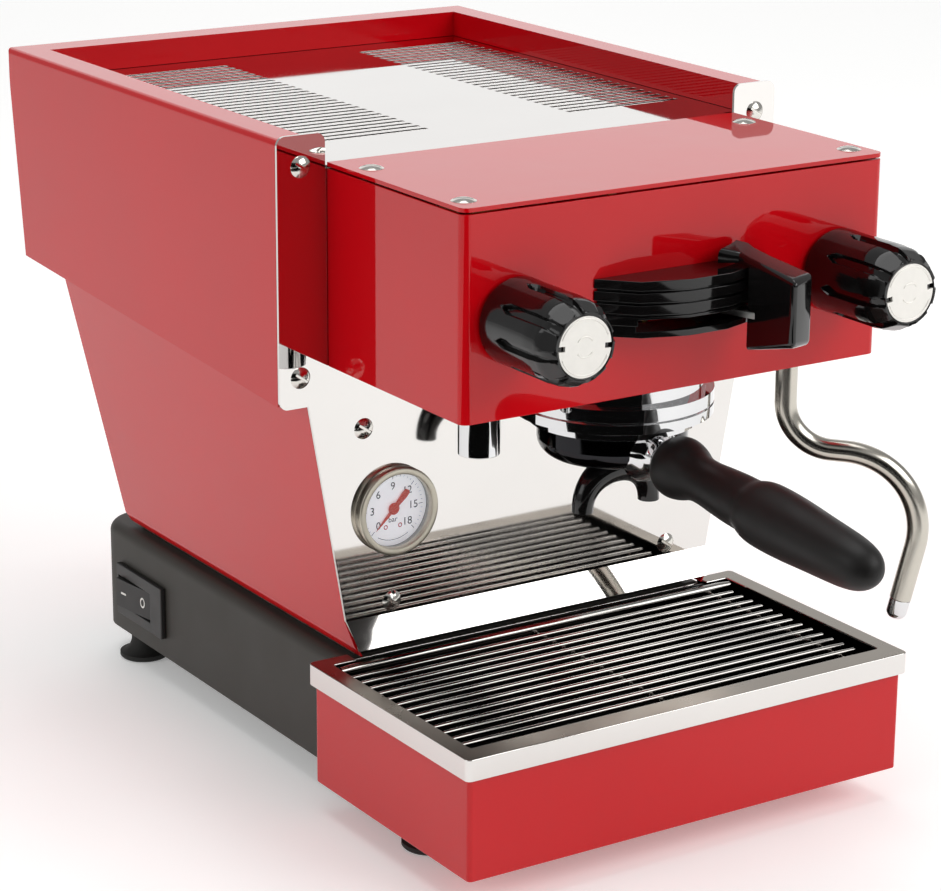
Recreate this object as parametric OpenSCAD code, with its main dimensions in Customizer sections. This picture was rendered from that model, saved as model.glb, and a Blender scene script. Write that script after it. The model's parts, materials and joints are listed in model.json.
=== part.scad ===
// Home espresso machine: a two-part folded steel body, a front group under a box cover,
// a drip drawer with the water tank behind it, and the working parts inside.
// Origin on the worktop, midway between the two sides, +Y towards the rear.

/* [Overall] */
// Width across the ears of the front panel
overall_w = 290; // [288:1:292]
// Height of the ears above the worktop
overall_h = 340; // [339:1:341]
// Upper body depth behind the front panel
body_d = 295; // [290:1:298]
// Y of the front panel's face; it centres the outline fore and aft
panel_y = -15; // [-17:1:-13]

/* [Upper body] */
// Width of the top rail at each side
rail_w = 17; // [14:1:19]
// Height of the cup tray's surface
tray_z = 324.5; // [323:0.5:325]
// Slots in each group of the cup tray
slot_n = 29; // [20:1:30]
// Distance from one slot to the next
slot_pitch = 7.3; // [6:0.1:7.4]

/* [Group cover] */
// Half the width of the cover
cover_w = 118.6; // [117:0.2:119]
// How far the cover reaches in front of the panel
cover_d = 117.7; // [116:0.1:119]
// Height of the cover's lower edge
cover_z = 227.5; // [226:0.5:228]

/* [Drip drawer] */
// Half the width of the steel rim
rim_w = 129.3; // [128:0.1:130]
// Reach of the rim in front of the panel
rim_d = 140.7; // [139:0.1:142]
// Height of the rim's top face
rim_z = 78.3; // [77:0.1:79]
// Number of bars in the grid
bar_n = 14; // [10:1:15]

/* [Group and portafilter] */
// Distance of the group's axis in front of the panel
group_y = -66.5; // [-68:0.5:-65]
// Downward slope of the portafilter handle, degrees
handle_droop = 4.3; // [3:0.1:6]

/* [Knobs] */
// Distance of each knob's axis from the middle
knob_x = 91; // [88:1:93]
// Height of the knobs' axes
knob_z = 272.7; // [271:0.1:275]
// Radius of a knob at its base
knob_r = 20.5; // [19:0.5:22]

/* [Steam wand] */
// Angle of the wand's bend from the machine's right side towards the front
wand_turn = 40; // [30:1:50]
// Radius of the wand's tube
wand_r = 5.5; // [5:0.1:6]

/* [Hidden] */
$fn = 64;
sheet = 1.5;                       // thickness of the folded sheets
half_w = overall_w / 2;
rail_z = overall_h - 1.5;          // top of the rails, just under the ears
rail_in = half_w - rail_w;         // inner face of the side rails
rear_in = body_d - 18;             // inner face of the rear rail
lip_z = 96.5;                      // fold line near the panel's lower edge
low_z = 79;                        // lower edge of the lower body
base_w = 111.5;                    // half the base's width
base_top = 76;
base_front = 4.5;
base_rear = 270;
floor_z = 16.2;                    // top of the base floor
lid_top = 326;
lid_t = 2;
wand_x = 88.4;
wand_y = -88;
spout_x = -91;
spout_y = -89;
gauge_x = -81.7;
gauge_z = 149.8;
paddle_z = 265;                    // height of the paddle's arm
handle_z = 194.1;                  // height of the handle's line at the group's axis
drawer_front = -138.4;
switch_y = 221;                    // middle of the rocker
switch_z = 41.5;
foot_x = 100;
FOOT_Y = [-62, 239];
foot_r = 13.7;
EAR_SCREWS = [[132.5, 325], [133.6, 223.8]];
PLATE_SCREWS = [[99, 193.5], [83.3, 102.7]];
LID_SCREWS = [[108, -23], [109, -103]];

// ---------- helpers ----------

// Everything is measured from the front panel's face, then set back into the row frame.
module from_panel() { translate([0, panel_y, 0]) children(); }

// A profile drawn as X and Z, extruded from y0 to y1.
module along_y(y0, y1) {
  translate([0, y1, 0]) rotate([90, 0, 0]) linear_extrude(y1 - y0) children();
}

// A profile drawn as Y and Z, extruded from x0 to x1.
module along_x(x0, x1) {
  translate([x0, 0, 0]) rotate([90, 0, 90]) linear_extrude(x1 - x0) children();
}

module box(x0, x1, y0, y1, z0, z1) {
  translate([x0, y0, z0]) cube([x1 - x0, y1 - y0, z1 - z0]);
}

module cyl_x(r, x0, x1) { translate([x0, 0, 0]) rotate([0, 90, 0]) cylinder(r = r, h = x1 - x0); }
module cyl_y(r, y0, y1) { translate([0, y0, 0]) rotate([-90, 0, 0]) cylinder(r = r, h = y1 - y0); }

// A rectangle whose four corners have radius r.
module round_rect(x0, x1, y0, y1, r) {
  translate([x0 + r, y0]) square([x1 - x0 - 2 * r, y1 - y0]);
  translate([x0, y0 + r]) square([x1 - x0, y1 - y0 - 2 * r]);
  for (x = [x0 + r, x1 - r], y = [y0 + r, y1 - r]) translate([x, y]) circle(r);
}

// A ring about the vertical axis.
module ring(r_out, r_in, z0, z1) {
  translate([0, 0, z0]) difference() {
    cylinder(r = r_out, h = z1 - z0);
    translate([0, 0, -1]) cylinder(r = r_in, h = z1 - z0 + 2);
  }
}

function unit(v) = v / norm(v);

// A round tube along a flat path whose plane has the normal b.
module swept_tube(path, r, b, sides) {
  last = len(path) - 1;
  rings = [for (i = [0 : last]) let (t = unit(path[min(i + 1, last)] - path[max(i - 1, 0)]), n = cross(b, t))
    for (k = [0 : sides - 1]) path[i] + r * (cos(360 * k / sides) * n + sin(360 * k / sides) * b)];
  walls = [for (i = [0 : last - 1], k = [0 : sides - 1]) let (j = (k + 1) % sides)
    [i * sides + k, i * sides + j, (i + 1) * sides + j, (i + 1) * sides + k]];
  ends = [[for (k = [sides - 1 : -1 : 0]) k], [for (k = [0 : sides - 1]) last * sides + k]];
  polyhedron(points = rings, faces = concat(walls, ends));
}

// A round bar of radius r bent to radius bend, in the XZ plane, from angle a through sweep.
module bend_xz(bend, r, a, sweep) {
  rotate([90, 0, 0]) rotate([0, 0, a]) rotate_extrude(angle = sweep) translate([bend, 0]) circle(r);
}

// A slotted dome head on a short shank; the axis is -Y with the seat at y = 0.
module dome_screw_y(head_r, head_h, shank_r, shank_l) {
  sphere_r = (head_r * head_r + head_h * head_h) / (2 * head_h);
  difference() {
    intersection() {
      translate([0, sphere_r - head_h, 0]) sphere(sphere_r);
      cyl_y(head_r, -head_h, 0);
    }
    rotate([0, 35, 0]) box(-head_r, head_r, -head_h - 1, -head_h + 1.1, -0.6, 0.6);
  }
  cyl_y(shank_r, -0.2, shank_l);
}

// ---------- base ----------

module base_floor() {
  color("#33312e") from_panel() difference() {
    translate([0, 0, floor_z - 2]) linear_extrude(2)
      round_rect(-base_w + 3.5, base_w - 3.5, -96, base_rear - 4, 14);
    for (x = [-foot_x, foot_x], y = FOOT_Y) translate([x, y, 10]) cylinder(r = 3.3, h = 10);
  }
}

// Half the base's cross-section, w wide, with the top edge cut back by c.
module base_section(w, z0, z1, c) {
  polygon([[-w, z0], [w, z0], [w, z1 - c], [w - c, z1], [c - w, z1], [-w, z1 - c]]);
}

module base_housing() {
  wall = 3;
  color("#3f3d38") from_panel() difference() {
    intersection() {
      translate([0, 0, floor_z + 0.2]) linear_extrude(base_top - floor_z - 0.2)
        union() {
          round_rect(-base_w, base_w, base_front, base_rear, 20);
          translate([-base_w, base_front]) square([2 * base_w, 40]);
        }
      along_y(base_front, base_rear) base_section(base_w, floor_z, base_top, 6);
      along_x(-base_w, base_w)
        polygon([[0, 0], [base_rear, 0], [base_rear, base_top - 6], [base_rear - 6, base_top],
                 [0, base_top]]);
    }
    box(-base_w + wall, base_w - wall, base_front - 1, base_rear - 24, 0, base_top - wall);
    box(-base_w + 24, base_w - 24, base_front - 1, base_rear - wall, 0, base_top - wall);
    box(-base_w - 1, -base_w + 8, switch_y - 20, switch_y + 20, switch_z - 9.8, switch_z + 9.8);
    box(36, 66, base_rear - 8, base_rear + 1, 34, 58);
  }
}

module foot() {
  rotate_extrude() polygon(concat([[0, 0], [foot_r - 1, 0], [foot_r, 1], [foot_r, 3]],
    [for (t = [10 : 10 : 80]) [foot_r - 6.7 * sin(t), 3 + 8.8 * (1 - cos(t))]],
    [[7, 14], [0, 14]]));
  translate([0, 0, 13.5]) cylinder(r = 3, h = 2.5);
}

module feet() {
  color("#1d1c1a") from_panel() for (x = [-foot_x, foot_x], y = FOOT_Y) translate([x, y, 0]) foot();
}

module chassis_plate() {
  color("#b5b4b0") from_panel() difference() {
    box(-101, 101, 7, 236, base_top + 0.2, base_top + 2.2);
    translate([-60, 200, 70]) cylinder(r = 8, h = 20);
  }
}

// ---------- body ----------

// Half-width of the lower body's outer face at height z.
function low_half(z) = 129 + 0.177 * (z - 207);
// Y of the lower body's rear face at height z.
function low_rear(z) = 262 + 0.14 * (z - 215);

module low_front_view(t, e) {
  fold = 84.5;
  turned_in = 2.2;
  bottom = low_half(low_z) - turned_in - t;
  polygon([[-low_half(228) + t, 228 + e], [-low_half(fold) + t, fold], [-bottom, low_z - e],
           [bottom, low_z - e], [low_half(fold) - t, fold], [low_half(228) - t, 228 + e]]);
}

module low_side_view(t, e) {
  polygon([[1.8 - e, 228 + e], [1.8 - e, lip_z], [-5.0 - e, 82.8], [-5.0 - e, low_z - e],
           [low_rear(low_z) - t, low_z - e], [low_rear(228) - t, 228 + e]]);
}

module lower_body() {
  color("#b8282e") from_panel() difference() {
    intersection() {
      along_y(-20, 300) low_front_view(0, 0);
      along_x(-150, 150) low_side_view(0, 0);
    }
    intersection() {
      along_y(-20, 300) low_front_view(sheet, 1);
      along_x(-150, 150) low_side_view(sheet, 1);
    }
    for (s = [-1, 1]) translate([s * EAR_SCREWS[1][0], 0, EAR_SCREWS[1][1]]) cyl_y(2.6, 0, 8);
  }
}

module up_side_view(t, e) {
  polygon([[1.8 - e, 210.7 - 6 * e], [1.8 - e, rail_z - t], [body_d - t, rail_z - t],
           [body_d - 15 - t, 227.2 - 6 * e]]);
}

module upper_body() {
  side_r = 3;
  color("#c4262d") from_panel() {
    difference() {
      intersection() {
        along_x(-half_w, half_w) up_side_view(0, 0);
        along_y(1.8, body_d) round_rect(-half_w, half_w, 180, rail_z, side_r);
        translate([0, 0, 200]) linear_extrude(150) union() {
          round_rect(-half_w, half_w, 1, body_d, side_r);
          translate([-half_w, 1]) square([2 * half_w, 20]);
        }
      }
      along_x(-half_w + sheet, half_w - sheet) up_side_view(sheet, 1);
      box(-rail_in, rail_in, -5, rear_in, 320, 345);
    }
    for (s = [-1, 1]) translate([s * (rail_in + 0.75), 0, 0])
      box(-0.75, 0.75, 1.8, rear_in + sheet, tray_z + 0.2, rail_z - 0.5);
    box(-rail_in, rail_in, rear_in, rear_in + sheet, tray_z + 0.2, rail_z - 0.5);
  }
}

// Outline of the ears and the plate between them, as X and Z.
module panel_outline() {
  top = tray_z - 1.6;
  polygon([[-low_half(lip_z) , lip_z], [low_half(lip_z), lip_z], [low_half(209), 209], [low_half(209), top],
           [-low_half(209), top], [-low_half(209), 209]]);
  for (s = [0, 1]) mirror([s, 0]) {
    difference() {
      round_rect(119.3, half_w, 209, overall_h, 4.5);
      translate([119, 209]) square([9, 6]);
    }
    translate([119.3, 209]) square([9.7, 6]);
  }
}

module front_panel() {
  lip_d = 6.6;
  lip_low = 82.6;
  color("#dedbd6") from_panel() difference() {
    union() {
      along_y(0, sheet) panel_outline();
      intersection() {
        along_x(-130, 130)
          polygon([[0, lip_z + 0.01], [sheet, lip_z + 0.01], [sheet - lip_d, lip_low], [-lip_d, lip_low]]);
        along_y(-20, 20)
          polygon([[-low_half(lip_z), lip_z + 1], [-106, lip_low], [106, lip_low],
                   [low_half(lip_z), lip_z + 1]]);
      }
    }
    translate([gauge_x, 0, gauge_z]) cyl_y(20.8, -5, 5);
    for (s = [-1, 1], p = concat(EAR_SCREWS, PLATE_SCREWS)) translate([s * p[0], 0, p[1]]) cyl_y(2.2, -5, 5);
    box(-100, 100, -5, 5, 233, 316);
  }
}

module panel_screws() {
  color("#c9c7c2") from_panel() for (s = [-1, 1], p = concat(EAR_SCREWS, PLATE_SCREWS))
    translate([s * p[0], 0, p[1]]) dome_screw_y(5.3, 2.4, 2.1, 7);
}

module cup_tray() {
  slot_w = 3.2;
  first = 49;
  color("#e6e4e0") from_panel() difference() {
    union() {
      box(-140, 140, 8, 284, tray_z - 1.2, tray_z);
      box(-118.8, 118.8, -0.2, 9, tray_z - 1.2, tray_z);
    }
    for (i = [0 : slot_n - 1], s = [[-118, -32], [52, 121]])
      box(s[0], s[1], first + i * slot_pitch, first + i * slot_pitch + slot_w, tray_z - 3, tray_z + 1);
  }
}

// ---------- group cover ----------

// Plan of the cover with rounded front corners, inset by t.
module cover_plan(t, r) {
  union() {
    round_rect(-cover_w + t, cover_w - t, -cover_d + t, -0.4, r);
    translate([-cover_w + t, -30]) square([2 * (cover_w - t), 29.6]);
  }
}

module group_cover() {
  color("#c4262d") from_panel() difference() {
    translate([0, 0, cover_z]) linear_extrude(lid_top - lid_t - 1 - cover_z) cover_plan(0, 4.5);
    translate([0, 1, cover_z + sheet]) linear_extrude(150) cover_plan(sheet, 3);
    translate([0, group_y, 200]) cylinder(r = 50, h = 40);
    translate([spout_x, spout_y, 200]) cylinder(r = 11, h = 40);
    translate([wand_x, wand_y, 200]) cylinder(r = 9, h = 40);
    for (s = [-1, 1]) translate([s * knob_x, 0, knob_z]) cyl_y(8.2, -cover_d - 2, -cover_d + 4);
    box(-40, 40, -cover_d - 2, -cover_d + 4, paddle_z - 4.5, paddle_z + 4.5);
  }
}

module group_lid() {
  color("#d0555a") from_panel() difference() {
    translate([0, 0, lid_top - lid_t]) linear_extrude(lid_t) cover_plan(0, 4.5);
    for (s = [-1, 1], p = LID_SCREWS) translate([s * p[0], p[1], 300]) cylinder(r = 2.3, h = 50);
  }
}

module lid_screws() {
  color("#c9c7c2") from_panel() for (s = [-1, 1], p = LID_SCREWS)
    translate([s * p[0], p[1], lid_top]) rotate([-90, 0, 0]) dome_screw_y(6, 1.6, 2.1, 9);
}

// ---------- paddle ----------

// Plan of the paddle housing's faceted half-disc, grown by g, as X and Y from the panel.
module housing_plan(g) {
  y0 = -cover_d - 0.4;
  polygon([[-49 - g, y0], [-34 - g, y0 - 16 - g], [-11, y0 - 23 - g], [11, y0 - 23 - g],
           [34 + g, y0 - 16 - g], [49 + g, y0]]);
}

module paddle_housing() {
  base = 259.2;
  pitch = 5.6;
  color("#1a1a1a") from_panel() difference() {
    union() {
      translate([0, 0, base]) linear_extrude(4 * pitch + 4.4) housing_plan(-1.8);
      for (i = [0 : 4])
        translate([0, 0, base + i * pitch]) linear_extrude(4.4) housing_plan(i < 2 ? i - 2 : 0);
    }
    // slot in which the paddle's arm swings
    translate([0, group_y, paddle_z - 2.9]) intersection() {
      ring(90, 30, 0, 5.8);
      translate([-34, -90, 0]) cube([68, 60, 5.8]);
    }
  }
}

module paddle_arm() {
  color("#a9a8a4") from_panel() translate([0, group_y, 0]) {
    translate([0, 0, 258.6]) cylinder(r = 8, h = 9);
    rotate([0, 0, 20]) box(-6, 6, -84, 0, paddle_z - 1.5, paddle_z + 1.5);
    translate([0, 0, 250]) cylinder(r = 4.95, h = 10);
  }
}

module paddle_handle() {
  color("#161616") from_panel() difference() {
    intersection() {
      translate([0, 0, 240]) linear_extrude(60)
        polygon([[1, -119.5], [22, -132], [22.5, -173], [39, -165.5], [34, -124], [26, -118.8]]);
      along_x(0, 60)
        polygon([[-118, 244.5], [-131, 245.4], [-174, 256.2], [-174, 286.5], [-131, 292], [-118, 297]]);
    }
    translate([0, group_y, 0]) {
      ring(76.4, 1, 239, 287.4);
      translate([0, 0, 240]) cylinder(r = 62.2, h = 60);
    }
    // pocket for the end of the arm
    translate([0, group_y, 0]) rotate([0, 0, 20])
      box(-6.05, 6.05, -84.2, -50, paddle_z - 1.55, paddle_z + 1.55);
  }
}

// ---------- group and portafilter ----------

module group_head() {
  color("#d9d8d5") from_panel() {
    translate([0, group_y, 0]) difference() {
      union() {
        translate([0, 0, 206]) cylinder(r = 48.3, h = 12);
        translate([0, 0, 218]) cylinder(r = 44, h = 20);
        translate([0, 0, 238]) cylinder(r = 36, h = 12);
        translate([0, 0, 250]) cylinder(r = 16, h = 8);
      }
      ring(50, 46.9, 210.6, 211.8);
      translate([0, 0, 205]) cylinder(r = 42.6, h = 8.6);
      translate([0, 0, 205]) cylinder(r = 36.6, h = 13.4);
      translate([0, 0, 247]) cylinder(r = 5, h = 20);
    }
    // bayonet ramps that carry the portafilter's lugs
    for (a = [0, 180]) translate([0, group_y, 206]) rotate([0, 0, a + 62]) intersection() {
      ring(43, 37.2, 0, 3.2);
      rotate_extrude(angle = 56) translate([30, 0]) square([20, 4]);
    }
    // neck to the boiler
    translate([0, 0, 262]) cyl_y(14, group_y + 22, -19);
    translate([0, group_y, 0]) box(-12, 12, 14, 34, 240, 262);
  }
}

module group_gasket() {
  color("#222222") from_panel() translate([0, group_y, 0]) ring(36, 29, 213.4, 218.2);
}

module shower_screen() {
  color("#c2c0bb") from_panel() translate([0, group_y, 0]) {
    translate([0, 0, 213.6]) cylinder(r = 28.2, h = 1);
    translate([0, 0, 214.6]) cylinder(r = 4, h = 3.6);
  }
}

module portafilter_body() {
  color("#3a3a3c") from_panel() translate([0, group_y, 0]) {
    difference() {
      union() {
        translate([0, 0, 192]) cylinder(r = 36.4, h = 20);
        translate([0, 0, 201]) cylinder(r = 41, h = 4.4);
        rotate_extrude() polygon(concat([[0, 183], [26, 183]],
          [for (t = [15 : 15 : 90]) [26 + 10.4 * sin(t), 192.2 - 9.2 * cos(t)]], [[0, 192.2]]));
        for (a = [0, 180]) rotate([0, 0, a + 75]) intersection() {
          translate([0, 0, 209.6]) cylinder(r = 41.6, h = 3.2);
          rotate_extrude(angle = 30) translate([35.6, 205]) square([20, 10]);
        }
      }
      translate([0, 0, 186.4]) cylinder(r = 31.6, h = 30);
      translate([0, -4, 170]) cylinder(r = 4, h = 30);
    }
    // neck that carries the handle
    translate([0, 0, handle_z]) rotate([handle_droop, 0, 0]) cyl_y(7.2, -50, -34);
  }
}

module portafilter_basket() {
  color("#cfcdc9") from_panel() translate([0, group_y, 0]) difference() {
    union() {
      ring(34.8, 28, 212, 213.1);
      translate([0, 0, 188]) cylinder(r = 30.6, h = 25.1);
    }
    translate([0, 0, 189]) cylinder(r = 29.6, h = 30);
  }
}

module portafilter_handle() {
  // stations along the handle: distance from the group's axis, then radius
  STATIONS = [[46.5, 9.5], [48, 12], [50.5, 14], [54, 15], [58, 14.9], [62, 13.8], [66, 12], [71, 10.9],
    [77, 10.8], [86, 11.6], [98, 12.3], [108, 12.6], [111, 13.2], [115, 14.5], [120, 15.2], [130, 15.3],
    [142, 14.8], [155, 13.9], [168, 13.1], [180, 12.3], [187, 11], [192, 8.8], [195.6, 5.6], [197.4, 2.4],
    [197.8, 0]];
  color("#2a2927") from_panel() translate([0, group_y, handle_z]) rotate([90 + handle_droop, 0, 0])
    difference() {
      rotate_extrude() polygon(concat([[0, 46.5]], [for (s = STATIONS) [s[1], s[0]]]));
      translate([0, 0, 40]) cylinder(r = 7.3, h = 10.2);
    }
}

module portafilter_spout() {
  color("#1b1b1b") from_panel() translate([0, group_y - 4, 0]) {
    translate([0, 0, 174]) cylinder(r = 9, h = 8.8);
    translate([0, 0, 182]) cylinder(r = 3.8, h = 4);
    translate([0, 0, 157.4]) bend_xz(19.5, 5.6, 0, 180);
  }
}

// ---------- water and steam ----------

module hot_water_spout() {
  color("#d5d4d1") from_panel() translate([spout_x, spout_y, 0]) {
    ring(9.8, 7.6, 203.4, 236);
    ring(9.8, 4, 236, 250);
  }
}

// A tap body along Y, bored for its stem, with an outlet downwards.
module valve(x, out_x, out_y, out_z) {
  translate([x, 0, knob_z]) difference() {
    union() {
      cyl_y(11, -cover_d + 4, -62);
      translate([0, -62, 0]) rotate([-90, 0, 0]) cylinder(r = 14, h = 16, $fn = 6);
    }
    cyl_y(4.05, -cover_d + 2, -70);
  }
  translate([out_x, out_y, out_z]) cylinder(r = 6, h = knob_z - out_z - 9);
}

module steam_valve() { color("#b08d4f") from_panel() valve(knob_x, wand_x, wand_y, 249.8); }
module hot_water_valve() { color("#b08d4f") from_panel() valve(spout_x, spout_x, spout_y, 250.2); }

module stem(x) {
  translate([x, 0, knob_z]) cyl_y(4, -cover_d - 22, -72);
}

module steam_stem() { color("#9b9a96") from_panel() stem(knob_x); }
module hot_water_stem() { color("#9b9a96") from_panel() stem(-knob_x); }

module knob(x, notch) {
  y0 = -cover_d - 0.6;
  len = 53.8;
  translate([x, y0, knob_z]) rotate([90, 0, 0]) difference() {
    rotate_extrude() polygon([[0, 0], [knob_r - 1.5, 0], [knob_r, 2], [knob_r - 0.4, 20], [knob_r - 0.8, 44],
      [knob_r - 1.6, 47], [knob_r - 4.5, len], [0, len]]);
    for (a = [0 : 45 : 315]) rotate([0, 0, a + 10]) translate([knob_r + 3.2, 0, 13]) cylinder(r = 5, h = 50);
    translate([0, 0, len - 1.6]) cylinder(r = 14, h = 5);
    translate([0, 0, -1]) cylinder(r = 4.05, h = 22.6);
    for (a = [notch, notch + 180]) rotate([0, 0, a]) translate([12, -1.2, len - 3.6]) cube([8, 2.4, 9]);
  }
}

module knob_cap(x, notch) {
  translate([x, -cover_d - 52.82, knob_z]) rotate([90, 0, 0]) difference() {
    cylinder(r = 13.8, h = 1.5);
    for (a = [notch, notch + 180]) rotate([0, 0, a]) translate([10.5, -1.2, -1]) cube([8, 2.4, 9]);
  }
}

module steam_knob() { color("#151515") from_panel() knob(knob_x, 8); }
module steam_knob_cap() { color("#e8e6e0") from_panel() knob_cap(knob_x, 8); }
module hot_water_knob() { color("#151515") from_panel() knob(-knob_x, -3); }
module hot_water_knob_cap() { color("#e8e6e0") from_panel() knob_cap(-knob_x, -3); }

module wand_socket() {
  color("#8f8d88") from_panel() translate([wand_x, wand_y, 0]) difference() {
    translate([0, 0, 229.4]) cylinder(r = 14, h = 20);
    translate([0, 0, 240]) sphere(8.55);
    translate([0, 0, 225]) cylinder(r = 7, h = 15);
    translate([0, 0, 240]) cylinder(r = 3, h = 20);
  }
}

module wand_ball() {
  color("#c7c5c0") from_panel() translate([wand_x, wand_y, 0]) difference() {
    translate([0, 0, 240]) sphere(8.5);
    translate([0, 0, 225]) cylinder(r = wand_r + 0.02, h = 12);
  }
}

// The wand lies in one upright plane: down, outwards in a sweep, then down again.
wand_top = 201;                    // where the first bend starts
wand_bend_1 = 24.4;                // radius of the first bend
wand_slope = 3.5;                  // fall of the middle stretch, degrees
wand_mid = 7.5;                    // length of the middle stretch
wand_bend_2 = 39;                  // radius of the second bend
wand_lean = 12.2;                  // how far the last stretch leans back in, degrees
wand_end = 28;                     // length of the last stretch, without the tip

module in_wand_plane() {
  from_panel() translate([wand_x, wand_y, 0]) rotate([0, 0, -wand_turn]) children();
}

// Points on an arc in the XZ plane about c, from angle a0 to a1.
function arc_xz(c, r, a0, a1, n) =
  [for (i = [0 : n]) let (a = a0 + (a1 - a0) * i / n) [c[0] + r * cos(a), 0, c[1] + r * sin(a)]];

wand_p2 = [wand_bend_1 * (1 - sin(wand_slope)) + wand_mid * cos(wand_slope),
           wand_top - wand_bend_1 * cos(wand_slope) - wand_mid * sin(wand_slope)];
wand_c2 = wand_p2 - wand_bend_2 * [sin(wand_slope), cos(wand_slope)];
wand_p3 = wand_c2 + wand_bend_2 * [cos(wand_lean), -sin(wand_lean)];
wand_foot = wand_p3 - wand_end * [sin(wand_lean), cos(wand_lean)];

module steam_wand() {
  path = concat([[0, 0, 237]],
    arc_xz([wand_bend_1, wand_top], wand_bend_1, 180, 270 - wand_slope, 10),
    arc_xz(wand_c2, wand_bend_2, 90 - wand_slope, -wand_lean, 12),
    [[wand_foot[0], 0, wand_foot[1]]]);
  color("#b9b6b0") in_wand_plane() swept_tube(path, wand_r, [0, 1, 0], 20);
}

module steam_tip() {
  color("#d6d4cf") in_wand_plane() translate([wand_foot[0], 0, wand_foot[1]])
    rotate([0, 180 + wand_lean, 0]) difference() {
      union() {
        translate([0, 0, 0.1]) cylinder(r = wand_r - 0.2, h = 8);
        translate([0, 0, 8.1]) cylinder(r1 = wand_r - 0.2, r2 = wand_r - 1.8, h = 2.4);
      }
      for (a = [0 : 90 : 270]) rotate([0, 0, a]) translate([2.4, 0, 5]) cylinder(r = 0.7, h = 10);
    }
}

// ---------- gauge ----------

module at_gauge() { from_panel() translate([gauge_x, 0, gauge_z]) children(); }

module gauge_case() {
  color("#4a4a4a") at_gauge() difference() {
    union() {
      cyl_y(20.5, -1.2, 22);
      cyl_y(6, 22, 30);
    }
    cyl_y(19.3, -2, 18);
  }
  // block that carries the needle's shaft
  color("#b08d4f") at_gauge() difference() {
    cyl_y(5, 3.2, 18.4);
    cyl_y(1.56, 2, 6);
  }
}

module gauge_bezel() {
  color("#b9b2a2") at_gauge() difference() {
    union() {
      cyl_y(22.4, -2.4, -0.1);
      cyl_y(21.6, -5, -2.4);
    }
    cyl_y(18.6, -6, 1);
    cyl_y(20.6, -1.6, 1);
  }
}

module gauge_dial() {
  color("#f2f3f6") at_gauge() difference() {
    cyl_y(19.1, 1.6, 2.6);
    cyl_y(1.6, 0, 5);
  }
}

module gauge_glass() {
  color("#dfe8ee", 0.3) at_gauge() cyl_y(18.5, -3.4, -2.2);
}

// Angle of the needle at no pressure, from +X towards +Z.
needle_zero = 225;

module gauge_needle() {
  color("#d6453a") at_gauge() {
    rotate([0, -needle_zero, 0]) box(0, 14.5, 0.2, 0.8, -0.6, 0.6);
    rotate([0, -needle_zero, 0]) box(-8, 0, 0.2, 0.8, -1.3, 1.3);
    cyl_y(2.6, -0.2, 1.1);
    cyl_y(1.5, 1.1, 4.4);
  }
}

// ---------- switch and inlet ----------

module switch_bezel() {
  color("#1c1b1a") from_panel() difference() {
    union() {
      box(-base_w - 3.2, -base_w - 0.1, switch_y - 32, switch_y + 21, switch_z - 14, switch_z + 15);
      box(-base_w - 0.1, -base_w + 12, switch_y - 19.8, switch_y + 19.8, switch_z - 9.6, switch_z + 9.6);
    }
    box(-base_w - 8, -base_w + 10.5, switch_y - 18.6, switch_y + 18.6, switch_z - 8.4, switch_z + 8.4);
  }
}

module switch_rocker() {
  color("#141414") from_panel() translate([-base_w - 0.5, switch_y, 0]) {
    translate([0, 0, switch_z - 8]) linear_extrude(16)
      polygon([[2, -15.8], [-1.2, -16.2], [-3.6, 0], [-5.4, 16.2], [3.4, 15.6], [9, 0]]);
    translate([4, 0, switch_z - 8.2]) cylinder(r = 2, h = 16.4);
  }
}

module power_inlet() {
  color("#1b1b1b") from_panel() {
    difference() {
      union() {
        box(34, 68, base_rear + 0.1, base_rear + 3, 32, 60);
        box(36.2, 65.8, base_rear - 18, base_rear + 0.2, 34.2, 57.8);
      }
      box(39, 63, base_rear - 16, base_rear + 4, 37, 55);
    }
    for (p = [[45, 44.6], [51, 49.6], [57, 44.6]])
      box(p[0] - 1, p[0] + 1, base_rear - 17, base_rear - 2, p[1] - 2, p[1] + 2);
  }
}

// ---------- inside ----------

module brew_boiler() {
  color("#c98a5a") from_panel() translate([0, 0, 270]) {
    cyl_y(34, -18, 42);
    cyl_y(26, 42, 48);
    difference() {
      cyl_y(40, -18.4, -14);
      for (a = [0 : 60 : 300]) rotate([0, a, 0]) translate([37, 0, 0]) cyl_y(1.6, -20, -10);
    }
  }
}

module steam_boiler() {
  color("#b9b8b5") from_panel() translate([0, 136, 256]) {
    cyl_x(54, -92, 92);
    cyl_x(46, -97, 97);
    cyl_x(8, 97, 112);
    for (x = [-60, 60]) box(x - 8, x + 8, -18, 18, -177.6, -40);
  }
}

module pump() {
  color("#7e7d7a") from_panel() translate([7, 204, 104]) {
    cyl_x(19, -52, 10);
    cyl_x(24, 10, 44);
    cyl_x(6, 44, 58);
    box(-46, 36, -14, 14, -25.6, -12);
  }
}

module control_board() {
  color("#2e6a44") from_panel() {
    box(-98, -10, 20, 22, 78.3, 126);
    for (x = [-88 : 22 : -22]) box(x, x + 14, 22, 34, 82, 98);
    box(-60, -36, 22, 40, 102, 120);
  }
}

module copper_pipes() {
  pipe_r = 3;
  color("#b9703f") from_panel() {
    // steam and hot water, forward from the steam boiler to the two taps
    for (x = [-knob_x, knob_x]) translate([x, 0, knob_z]) cyl_y(pipe_r, -45.6, 83.5);
    // between the boilers
    translate([0, 0, 270]) cyl_y(pipe_r, 48.2, 82.9);
    // up from the pump, through an elbow, to the back of the steam boiler
    translate([34, 204, 128.2]) cylinder(r = pipe_r, h = 124);
    box(29, 39, 199, 209, 251, 261);
    translate([34, 0, 256]) cyl_y(pipe_r, 190.2, 200);
  }
}

// ---------- drip drawer ----------

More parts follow.
